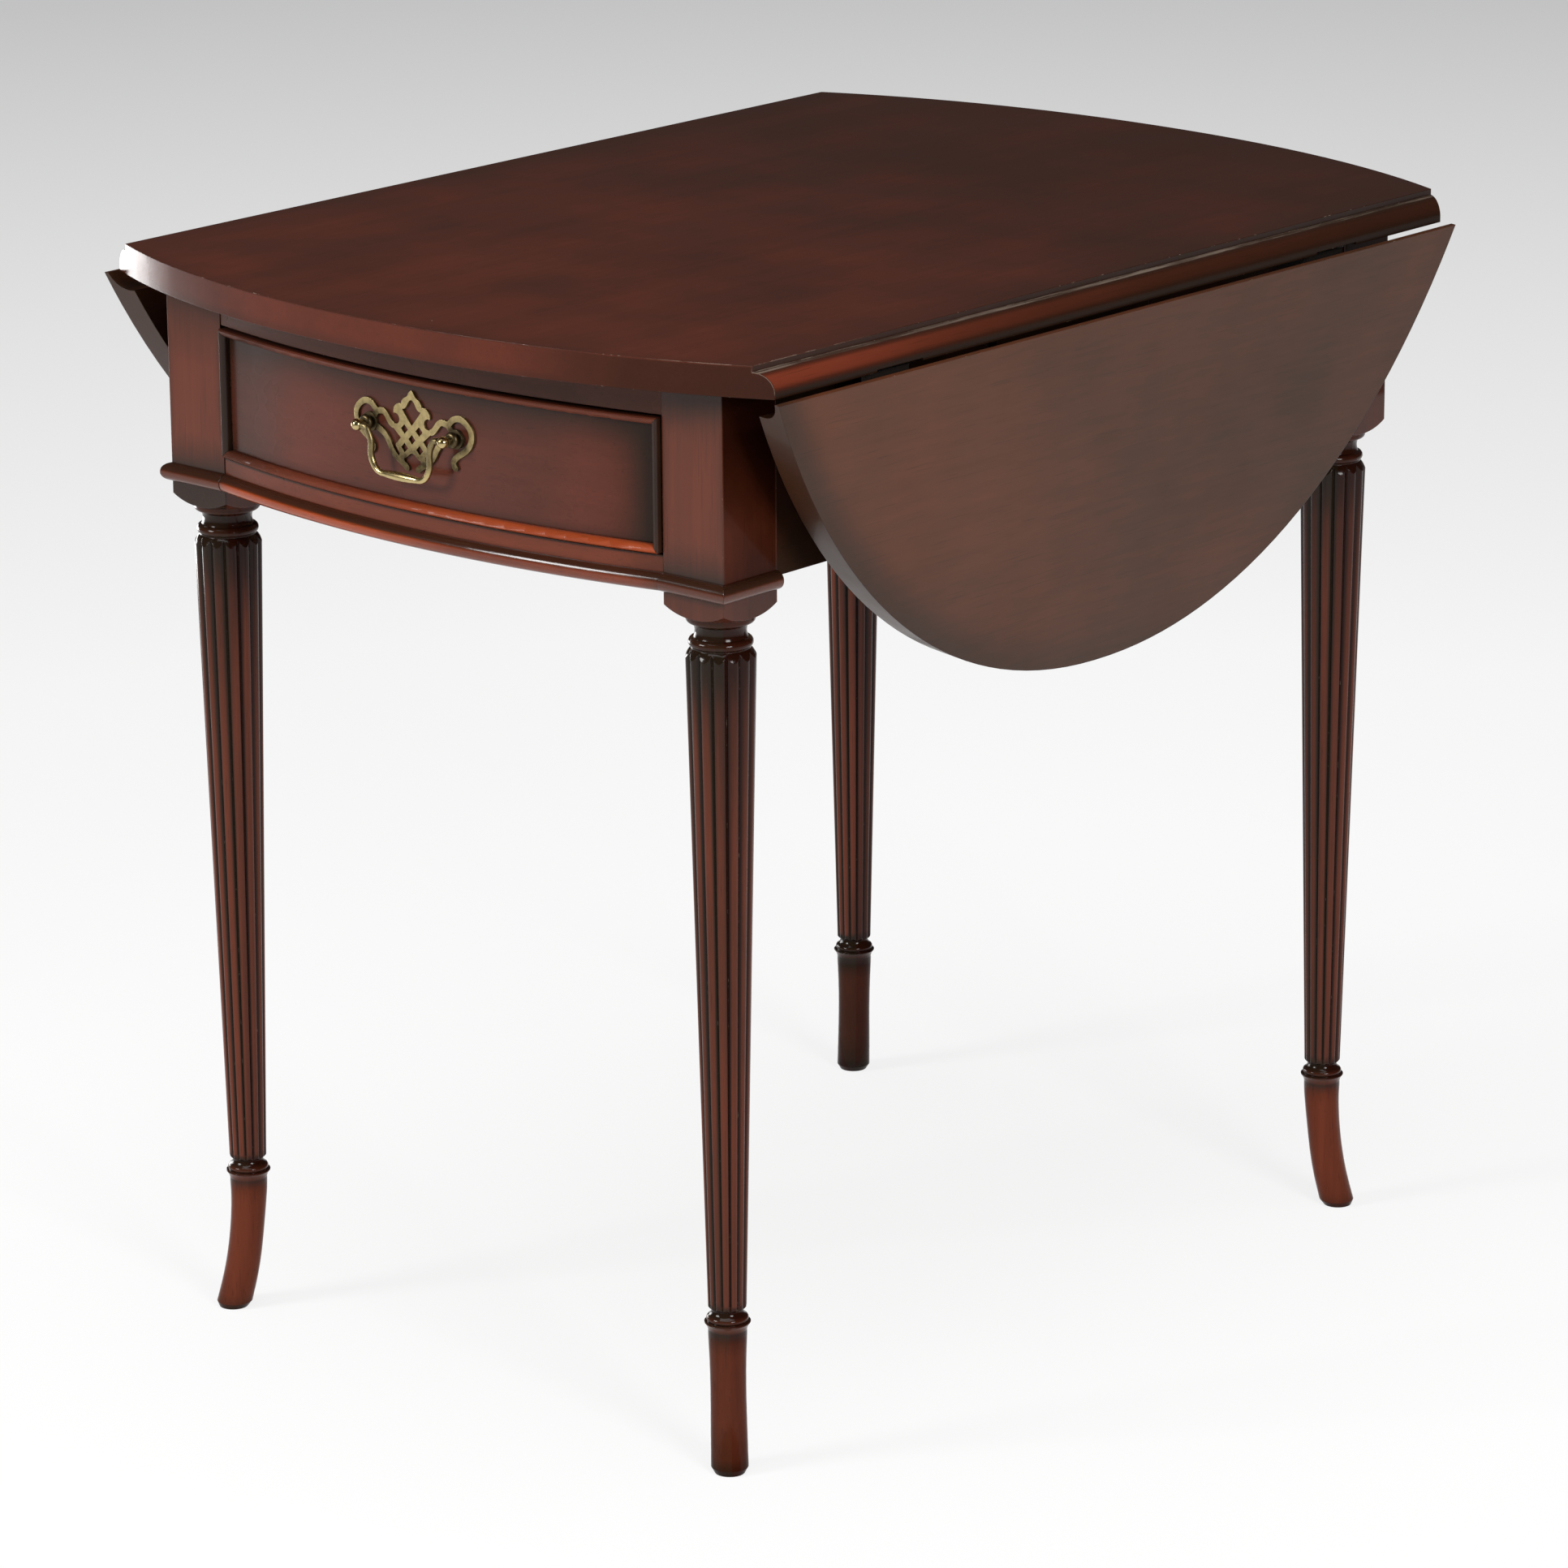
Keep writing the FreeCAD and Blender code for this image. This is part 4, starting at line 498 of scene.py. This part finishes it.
def leg_places(g):
    """Offsets from the nearest leg's axis across and along the table."""
    across = g.size(g.less(g.size(g.x), LEG_X))
    along = g.size(g.less(g.size(g.y), LEG_Y))
    return across, along


def leg_flank(g):
    """1 on the faces of a head that look along X."""
    across, along = leg_places(g)
    return g.span(g.less(across, along), *FLANK_FADE)


def warm_leg(g):
    """Painted light low on the flanks of the heads, a red glow on the left legs, redder feet, browner
    turning.
    """
    flank = leg_flank(g)
    glow = g.product(flank, g.span(g.z, *FLANK_LIGHT_HIGH), g.span(g.z, *FLANK_LIGHT_LOW))
    left = g.product(g.rest(flank), g.span(g.z, *HEAD_WARM_HIGH), g.span(g.x, *HEAD_WARM_LEFT))
    rear = g.product(g.span(g.y, *REAR_FADE), g.span(g.x, *FOOT_WARM_RIGHT))
    foot = g.product(g.span(g.z, *FOOT_FADE), g.largest(rear, FOOT_GLOW))
    shaft = g.product(g.span(g.z, *SHAFT_LOW_FADE), g.span(g.z, *SHAFT_BROWN))
    return g.less(g.largest(glow, left, foot), shaft)


def shade_head(g, across, along):
    """Glaze and painted shade on the square head: painted shade in its own run of tones on the flanks, glaze
    and painted shade on the other two faces.
    """
    corner = g.span(g.math("MINIMUM", across, along), *HEAD_CORNER_DARK)
    left = g.product(g.span(g.x, *NECK_LEFT_DARK), g.span(g.z, *NECK_FADE))
    front = g.largest(g.profile(g.z, HEAD_GLAZE_AND_SHADE), corner, left)
    behind = g.span(g.less(g.size(g.y), LEG_Y), *FLANK_BEHIND_SHADE)
    return g.mix(leg_flank(g), front, g.veil(g.profile(g.z, FLANK_SHADE), behind))


def shade_turning(g, across, along):
    """Glaze and painted shade on the turning: painted shade between the reeds and on the rear left leg,
    rubbed in streaks along the reeds.
    """
    radius = g.math("SQRT", g.math("ADD", g.math("POWER", across, 2.0), g.math("POWER", along, 2.0)))
    crest = g.line(g.z, REED_FOOT, REED_TOP, REED_FOOT_RADIUS, REED_TOP_RADIUS)
    shaft = g.product(g.span(g.z, *REED_LOW_FADE), g.span(g.z, *REED_HIGH_FADE))
    groove = g.product(g.line(g.math("DIVIDE", radius, crest), *GROOVE_SHADE), shaft)
    streaks = g.span(g.noise(STREAK["Z"], *REED_NOISE), *REED_RUB_FADE)
    rubbed = g.product(streaks, g.span(g.z, *REED_RUB), shaft)
    foot = g.product(g.span(g.z, *FOOT_FADE), g.span(g.product(g.x, g.y), *FOOT_DIAGONAL_DARK))
    rear = g.product(g.span(g.y, *REAR_FADE), g.span(g.x, *REAR_LEFT_SHADE))
    turned = g.less(g.profile(g.z, TURNING_GLAZE_AND_SHADE), rubbed)
    return g.veil(g.math("ADD", g.math("ADD", turned, foot), rear), groove)


def shade_leg(g):
    """Turning up to the shoulder, square head above it."""
    places = leg_places(g)
    return g.mix(g.span(g.z, *HEAD_FADE), shade_turning(g, *places), shade_head(g, *places))


def gloss_leg(g):
    """Duller square head, bright turning and reeds."""
    return g.span(g.z, *LEG_GLOSS)


def sheen_leg(g):
    """Hardly any mirror on the flanks of the heads and on the feet."""
    flank = g.product(leg_flank(g), g.span(g.z, *FLANK_DULL))
    dull = g.line(g.largest(flank, g.span(g.z, *FOOT_DULL)), *DULL_SHEEN)
    return g.product(g.span(g.z, *LEG_SHEEN), dull)


# Drawer front
# Red glows: how each one rises and falls from left to right
PANEL_WARM_LEFT = ((-0.145, -0.095), (-0.02, -0.075, 0.0, 0.16))
PANEL_WARM_RIGHT = ((0.085, 0.125, 0.0, 0.14), (0.160, 0.140))
# How dark the glaze lies, by height
PANEL_UP_GLAZE = (
    (PANEL_BASE, 0.80), (PANEL_BASE + 0.0052, 0.35), (PANEL_BASE + 0.0107, 0.10), (PANEL_BASE + 0.0177, 0.0),
    (PANEL_TOP - 0.0342, 0.0), (PANEL_TOP - 0.0212, 0.20), (PANEL_TOP - 0.0132, 0.44),
    (PANEL_TOP - 0.0052, 0.74), (PANEL_TOP, 0.95),
)
# How dark it lies, from left to right
PANEL_ALONG_GLAZE = (
    (-PANEL_END, 0.9), (-0.166, 0.45), (-0.150, 0.38), (-0.125, 0.24), (-0.100, 0.08), (-0.02, 0.06),
    (0.06, 0.20), (0.120, 0.22), (0.138, 0.30), (0.150, 0.46), (0.160, 0.74), (0.168, 0.92),
)
# How much the drawer front mirrors, from left to right
PANEL_MIRROR = (
    (-0.170, 0.30), (-0.140, 0.26), (-0.110, 0.20), (-0.070, 0.21), (0.060, 0.25), (0.100, 0.23),
    (0.140, 0.16), (0.170, 0.13),
)


def warm_panel(g):
    """Red glow left of the pull and towards the right end."""
    glows = []
    for rise, fall in (PANEL_WARM_LEFT, PANEL_WARM_RIGHT):
        glows.append(g.product(g.span(g.x, *rise), g.span(g.x, *fall)))
    return g.math("ADD", *glows)


def shade_panel(g):
    """Dark towards the four edges."""
    return g.veil(g.profile(g.z, PANEL_UP_GLAZE), g.profile(g.x, PANEL_ALONG_GLAZE))


def sheen_panel(g):
    """Most mirror at the left end, least at the right."""
    return g.profile(g.x, PANEL_MIRROR)


# Rails, beads, aprons and fly brackets
RAIL_END_DARK = (RAIL_END - 0.05, RAIL_END, 0.0, 0.5)
# Painted shadow along the top of the lower rail under the cock bead, and painted shade on the top rail under
# the top
CLEFT_SHADOW_FADE = (RAIL_TOP - 0.0022, RAIL_TOP - 0.0005)
LOWER_RAIL_SHADOW = (PANEL_TOP - 0.0192, PANEL_TOP - 0.0292, 0.0, 0.9)
TOP_RAIL_SHADE = (PANEL_TOP - 0.01, PANEL_TOP, 0.0, 0.66)
BEAD_LOW_FADE = (BEAD_BASE + 0.0005, BEAD_BASE + 0.0025)
BEAD_HIGH_FADE = (BEAD_BASE + 0.0090, BEAD_BASE + 0.0065)
BEAD_RAIL_FADE = (RAIL_END + 0.002, RAIL_END - 0.004)
# Painted light on the lower half of the bead
BEAD_LIGHT = (0.06, -0.06, 0.30, 0.85)
BEAD_NOISE = (7.0, 2.0)
BEAD_LIGHT_PATCHES = (0.35, 0.65, 0.05, 0.6)
# Painted shade along the foot and the upper side of the bead
BEAD_FOOT_SHADE = (BEAD_BASE + 0.0018, BEAD_BASE, 0.0, 0.80)
BEAD_TOP_SHADE = (BEAD_TOP - 0.0050, BEAD_TOP - 0.0030, 0.0, 0.80)
BEAD_END_DARK = (RAIL_END - 0.02, RAIL_END, 0.0, 0.48)
COCK_LOW_FADE = (POST_Z, POST_Z - 0.01)
# Painted light on the right of the bottom cock bead
COCK_LIGHT = (-0.16, 0.06, 0.0, 0.85)
COCK_LEFT_DARK = (-0.06, -0.16, 0.0, 0.55)
# Painted shade on the top cock bead
COCK_TOP_SHADE = (POST_Z, POST_Z + 0.01, 0.0, 0.15)
# Painted shade on the fly rails and brackets, in clouds
DEEP_NOISE = (14.0, 3.0)
DEEP_DARK = (0.2, 0.8, 0.55, 0.95)
BACK_END_DARK = (RAIL_END - 0.06, RAIL_END, 0.0, 0.6)
# Painted shade on the back apron under the top
BACK_HIGH_SHADE = (UNDER - 0.035, UNDER - 0.004, 0.05, 0.85)


def shade_rail(g):
    """Dark towards the ends, painted shadow along the cleft over the lower rail and painted shade under the
    top.
    """
    cleft = g.product(g.span(g.z, *CLEFT_SHADOW_FADE), g.span(g.z, *LOWER_RAIL_SHADOW))
    return g.largest(g.span(g.size(g.x), *RAIL_END_DARK), cleft, g.span(g.z, *TOP_RAIL_SHADE))


def painted_light_bead(g):
    """Painted light along the lower half of the bead, most on the left and in patches on the right."""
    band = g.product(g.span(g.z, *BEAD_LOW_FADE), g.span(g.z, *BEAD_HIGH_FADE))
    patches = g.span(g.noise(EVEN, *BEAD_NOISE), *BEAD_LIGHT_PATCHES)
    along = g.largest(g.span(g.x, *BEAD_LIGHT), patches)
    return g.product(band, g.span(g.size(g.x), *BEAD_RAIL_FADE), along)


def shade_bead(g):
    """Painted shade along the foot and the upper side of the bead, and dark towards the legs."""
    sides = g.largest(g.span(g.z, *BEAD_FOOT_SHADE), g.span(g.z, *BEAD_TOP_SHADE))
    return g.veil(sides, g.span(g.size(g.x), *BEAD_END_DARK))


def painted_light_cock_bead(g):
    """Painted light on the right of the bottom bead."""
    return g.product(g.span(g.z, *COCK_LOW_FADE), g.span(g.x, *COCK_LIGHT))


def shade_cock_bead(g):
    """Dark on the left, and a little painted shade on the top bead."""
    return g.largest(g.span(g.x, *COCK_LEFT_DARK), g.span(g.z, *COCK_TOP_SHADE))


def shade_deep(g):
    """Mostly dark, in clouds: painted shade on the fly rails and brackets, and the same dark on the side
    cock beads.
    """
    return g.span(g.noise(EVEN, *DEEP_NOISE), *DEEP_DARK)


def shade_back(g):
    """Dark towards the legs, and painted shade under the top."""
    return g.largest(g.span(g.size(g.x), *BACK_END_DARK), g.span(g.z, *BACK_HIGH_SHADE))


# Inner wood
LINING_NOISE = (40.0, 5.0, 0.6, 0.4)
LINING_STREAK_NOISE = (320.0, 3.0, 0.6)
LINING_TONE = (*STREAK_FADE, 0.78, 1.12)
STAIN_NOISE = (9.0, 4.0, 0.6)
STAIN_DARK = (0.5, 0.85, 0.0, 0.45)
LINING_REACH = 0.012
# Dirt and painted shade in the corners
LINING_GRIME_AND_SHADE = 0.5
LINING_EDGE = 0.0006
LINING_ROUGHNESS = (*MIDDLE_FADE, 0.6, 0.75)
LINING_BUMP, LINING_DEPTH = 0.25, 0.0006


def lining(name, grain):
    """Bare inner wood: pale streaks along the grain, stains, and dirt and painted shade in the corners."""
    g = Graph(name)
    figure = g.noise(ALONG[grain], *LINING_NOISE)
    streaks = g.noise(STREAK[grain], *LINING_STREAK_NOISE)
    stain = g.noise(EVEN, *STAIN_NOISE)
    colour = g.mix(g.span(figure, *MIDDLE_FADE), LINING_DARK, LINING_PALE)
    colour = g.mix(1.0, colour, g.line(streaks, *LINING_TONE), "MULTIPLY")
    colour = g.mix(g.span(stain, *STAIN_DARK), colour, BROWN)
    colour = g.mix(g.math("MULTIPLY", g.hollows(LINING_REACH), LINING_GRIME_AND_SHADE), colour, GLAZE_AND_SHADE)
    rounded, _ = g.edges(LINING_EDGE)
    normal = g.bump(streaks, LINING_BUMP, LINING_DEPTH, rounded)
    return g.finish(colour, g.line(figure, *LINING_ROUGHNESS), normal)


# Brass of the pull, and iron
POST_DARK = (0.016, 0.005, 0.0, 0.75)
PLATE_LOW_DARK = (POST_Z - 0.0025, POST_Z - 0.0185, 0.0, 0.75)
STEM_DARK = (-0.3315, -0.3265, 0.0, 0.95)
BAIL_ARM_DARK = (POST_Z - 0.0220, POST_Z - 0.0140, 0.0, 0.60)
IRON_NOISE = (60.0, 3.0)
IRON_PATCH_DARK = (*MIDDLE_FADE, 0.0, 0.3)
PATINA_NOISE = (260.0, 5.0, 0.65)
PATINA_FADE = (0.35, 0.75)
PIT_NOISE = (1400.0, 2.0, 0.5)
PIT_FADE = (0.62, 0.7)
PIT_SHARE = 0.2
METAL_REACH = 0.004
METAL_EDGE = 0.0003
EDGE_BRIGHT = 0.35
TARNISH_ROUGHNESS = 0.22
METAL_BUMP, METAL_DEPTH = 0.12, 0.0002


def tarnish_and_shade_plate(g):
    """Darker round the posts and towards the lower tips of the plate, both tarnish and painted shade."""
    across, up = g.less(g.size(g.x), POST_X), g.less(g.z, POST_Z)
    reach = g.length(g.add("ShaderNodeCombineXYZ", {0: across, 1: up}).outputs[0])
    return g.largest(g.span(reach, *POST_DARK), g.span(g.z, *PLATE_LOW_DARK))


def tarnish_post(g):
    """Bright ball ends, dark stems."""
    return g.span(g.y, *STEM_DARK)


def tarnish_bail(g):
    """Arms dark, lower bar rubbed bright."""
    return g.span(g.z, *BAIL_ARM_DARK)


def tarnish_even(g):
    """Faint dark patches all over."""
    return g.span(g.noise(EVEN, *IRON_NOISE), *IRON_PATCH_DARK)


def metal(name, colours, roughness, patina, tarnish_and_shade):
    """Old metal: worn bright on edges, dark where hands and cloths don't reach, and on the plate also
    painted shade.
    """
    g = Graph(name)
    cloud = g.noise(EVEN, *PATINA_NOISE)
    pits = g.span(g.noise(EVEN, *PIT_NOISE), *PIT_FADE)
    share = g.math("ADD", g.hollows(METAL_REACH), g.span(cloud, *PATINA_FADE, 0.0, patina))
    share = g.math("MULTIPLY_ADD", pits, PIT_SHARE, g.math("ADD", share, tarnish_and_shade(g)))
    rounded, edge = g.edges(METAL_EDGE)
    share = g.largest(g.less(share, g.math("MULTIPLY", edge, EDGE_BRIGHT)), 0.0)
    share = g.math("MINIMUM", share, 1.0)
    g.feed(g.shader.inputs["Metallic"], 1.0)
    dull = g.line(share, 0.0, 1.0, roughness, roughness + TARNISH_ROUGHNESS)
    return g.finish(g.mix(share, *colours), dull, g.bump(cloud, METAL_BUMP, METAL_DEPTH, rounded))


# Inner wood: material, grain, and names or first words of the nodes
LININGS = (
    ("inner_wood_along", "Y", ("side_apron", "drawer_runner", "drawer_guide", "kicker", "drawer_side")),
    ("inner_wood_across", "X", ("drawer_back", "drawer_stops", "drawer_bottom")),
)
# Mahogany: material, grain, nodes, and what differs from the usual finish
MAHOGANIES = (
    ("top_wood", "Y", ("top_board",), {
        "shade": shade_top, "warmth_and_light": warm_top, "scuff_and_highlight": scuff_and_highlight_top, "rub": rub_top, "sheen": sheen_top,
        "brown": TOP_BROWN, "red": TOP_RED, "tint": 0.23, "sway": 0.60, "figure": 0.06, "streak": 0.05,
        "glaze_and_shade": 0.78, "gloss": 0.22, "wear": 0.8,
    }),
    ("leaf_wood", "Y", ("leaf_",), {
        "shade": shade_leaf, "warmth_and_light": warm_leaf, "brown": LEAF_BROWN, "red": LEAF_RED, "tint": 0.40,
        "cloud": 8.0, "sway": 0.75, "figure": 0.06, "fleck": 0.12, "streak": 0.05, "glaze_and_shade": 0.72,
        "gloss": 0.36, "wear": 0.5, "sheen": 0.22,
    }),
    # Legs: the painted shade on the flanks of the heads is dark red
    ("leg_wood", "Z", ("leg_front", "leg_rear"), {
        "shade": shade_leg, "warmth_and_light": warm_leg, "deep": leg_flank, "gloss": gloss_leg, "sheen": sheen_leg,
        "tint": 0.66, "cloud": 13.0, "figure": 0.15, "glaze_and_shade": 0.96,
    }),
    ("drawer_wood", "X", ("drawer_front",), {
        "shade": shade_panel, "warmth_and_light": warm_panel, "sheen": sheen_panel, "red": PANEL_RED, "tint": 0.58,
        "cloud": 16.0, "figure": 0.12, "streak": 0.08, "glaze_and_shade": 0.92, "hollow_grime_and_shade": 0.5, "gloss": 0.26,
        "wear": 0.1,
    }),
    ("rail_wood", "X", ("front_top_rail", "front_lower_rail"), {
        "shade": shade_rail, "tint": 1.05, "gloss": 0.26, "sheen": 0.22,
    }),
    ("bead_wood", "X", ("front_rail_bead", "leg_bead"), {
        "shade": shade_bead, "warmth_and_light": painted_light_bead, "tint": 0.85, "glaze_and_shade": 0.86, "gloss": 0.12, "wear": 0.2,
        "sheen": 0.33,
    }),
    ("cock_bead_wood", "X", ("cock_bead_top", "cock_bead_bottom"), {
        "shade": shade_cock_bead, "warmth_and_light": painted_light_cock_bead, "tint": 0.75, "figure": 0.1, "gloss": 0.48,
        "wear": 0.0, "sheen": 0.15, "bump": 0.0,
    }),
    ("cock_bead_end_wood", "Z", ("cock_bead_left", "cock_bead_right"), {
        "shade": shade_deep, "tint": 0.4, "figure": 0.1, "glaze_and_shade": 0.9, "wear": 0.0, "bump": 0.0,
    }),
    ("side_wood", "Y", ("fly_rail", "fly_bracket"), {
        "shade": shade_deep, "tint": 0.4, "glaze_and_shade": 0.9, "gloss": 0.36, "sheen": 0.08,
    }),
    ("back_wood", "X", ("back_apron",), {"shade": shade_back, "tint": 0.6, "gloss": 0.28}),
)
# Metal: material, nodes, pale and dark colours, roughness, patina, and tarnish, which on the plate also
# paints shade
METALS = (
    ("plate_brass", ("pull_plate",), BRASS, 0.40, 0.40, tarnish_and_shade_plate),
    ("post_brass", ("pull_posts",), BRASS, 0.20, 0.30, tarnish_post),
    ("bail_brass", ("pull_bail",), BRASS, 0.24, 0.18, tarnish_bail),
    ("iron", ("hinge_", "fly_pin", "top_screws", "pull_nuts"), IRON, 0.42, 0.8, tarnish_even),
)


def paint(material, names):
    """Give a material to the CAD nodes whose names start with one of these."""
    for label, obj in NODES.items():
        if label.startswith(names):
            obj.data.materials.clear()
            obj.data.materials.append(material)


def paint_all():
    """Finish all the CAD nodes."""
    for name, grain, names in LININGS:
        paint(lining(name, grain), names)
    for name, grain, names, changes in MAHOGANIES:
        paint(mahogany(name, grain, **changes), names)
    for name, names, *look in METALS:
        paint(metal(name, *look), names)


# Floor and room
FLOOR_RADIUS = 14.0
FLOOR_SIDES = 96
# How bright the floor's own tone is, by distance from the table's middle
FLOOR_TONE = ((0.9, 1.0), (1.45, 0.99), (2.6, 0.86), (4.6, 0.62))
FLOOR_TONE_SHARE = 0.82
SEEN_RAYS = ("Is Camera Ray", "Is Glossy Ray", "Is Transmission Ray")


def make_floor():
    """Pale round floor. Seen by the camera or in the polish it is mostly its own even tone, which fades to
    grey far off, and partly the lit surface, so the shadow stays."""
    mesh = bpy.data.meshes.new("floor")
    build = bmesh.new()
    bmesh.ops.create_circle(build, cap_ends=True, segments=FLOOR_SIDES, radius=FLOOR_RADIUS)
    build.to_mesh(mesh)
    build.free()
    floor = bpy.data.objects.new("floor", mesh)
    bpy.context.scene.collection.objects.link(floor)
    g = Graph("floor")
    tone = g.profile(g.length(g.place), FLOOR_TONE)
    glow = g.add("ShaderNodeEmission", {"Color": tone, "Strength": 1.0}).outputs[0]
    lit = g.add("ShaderNodeBsdfDiffuse", {"Color": FLOOR_WHITE}).outputs[0]
    path = g.add("ShaderNodeLightPath").outputs
    seen = g.largest(*(path[ray] for ray in SEEN_RAYS))
    share = g.math("MULTIPLY", seen, FLOOR_TONE_SHARE)
    both = g.add("ShaderNodeMixShader", {0: share, 1: lit, 2: glow}).outputs[0]
    g.feed(g.tree.nodes["Material Output"].inputs["Surface"], both)
    mesh.materials.append(g.material)


def make_world():
    """Dim grey room, which the camera sees as pale grey."""
    world = bpy.data.worlds.new("studio")
    bpy.context.scene.world = world
    world.use_nodes = True
    tree = world.node_tree
    light = tree.nodes["Background"]
    light.inputs["Color"].default_value = ROOM_LIGHT
    room = tree.nodes.new("ShaderNodeBackground")
    room.inputs["Color"].default_value = ROOM_SEEN
    path = tree.nodes.new("ShaderNodeLightPath")
    mix = tree.nodes.new("ShaderNodeMixShader")
    tree.links.new(path.outputs["Is Camera Ray"], mix.inputs[0])
    tree.links.new(light.outputs[0], mix.inputs[1])
    tree.links.new(room.outputs[0], mix.inputs[2])
    tree.links.new(mix.outputs[0], tree.nodes["World Output"].inputs["Surface"])


# Area lamps: place, width, height and power. The card only shows in the polish.
CARD = "left_card"
LAMPS = {
    "overhead": ((0.2, -0.6, 3.4), 2.4, 2.4, 66),
    "front_left": ((-1.6, -3.2, 2.2), 1.0, 1.0, 84),
    "right": ((3.3, -1.2, 2.0), 1.0, 1.0, 76),
    CARD: ((-1.6, 0.05, 0.34), 0.8, 0.55, 12),
}
LAMP_AIM = Vector((0, 0, 0.42))


def make_lights():
    """Soft lamps that face the table."""
    for name, (place, width, height, power) in LAMPS.items():
        data = bpy.data.lights.new(name, "AREA")
        data.shape = "RECTANGLE"
        data.size, data.size_y = width, height
        data.energy = power
        light = bpy.data.objects.new(name, data)
        light.location = place
        light.rotation_mode = "QUATERNION"
        light.rotation_quaternion = (LAMP_AIM - Vector(place)).to_track_quat("-Z", "Y")
        light.visible_camera = False
        light.visible_diffuse = name != CARD
        bpy.context.scene.collection.objects.link(light)


# Camera, solved from the photo: the photo's size, the focal length and the optical centre in pixels, then
# the place and the angles in degrees
PHOTO_PX = 1932
FOCAL_PX = 8120.4
CENTRE_PX = (1073.7, 987.4)
CAMERA_PLACE = Vector((2.5591, -2.8960, 1.4658))
CAMERA_AZIMUTH, CAMERA_ELEVATION, CAMERA_ROLL = 40.761, 16.858, -0.171
SENSOR_MM = 36.0


def make_camera():
    """The photo's camera."""
    data = bpy.data.cameras.new("camera")
    data.sensor_width = SENSOR_MM
    data.lens = FOCAL_PX / PHOTO_PX * SENSOR_MM
    data.shift_x = (PHOTO_PX / 2 - CENTRE_PX[0]) / PHOTO_PX
    data.shift_y = (CENTRE_PX[1] - PHOTO_PX / 2) / PHOTO_PX
    camera = bpy.data.objects.new("camera", data)
    azimuth, elevation, roll = (math.radians(a) for a in (CAMERA_AZIMUTH, CAMERA_ELEVATION, CAMERA_ROLL))
    flat = math.cos(elevation)
    ahead = Vector((-math.sin(azimuth) * flat, math.cos(azimuth) * flat, -math.sin(elevation)))
    camera.rotation_mode = "QUATERNION"
    camera.rotation_quaternion = ahead.to_track_quat("-Z", "Y") @ Quaternion((0, 0, 1), roll)
    camera.location = CAMERA_PLACE
    bpy.context.scene.collection.objects.link(camera)
    bpy.context.scene.camera = camera


paint_all()
make_floor()
make_world()
make_lights()
make_camera()
bpy.context.scene.view_settings.view_transform = "Standard"
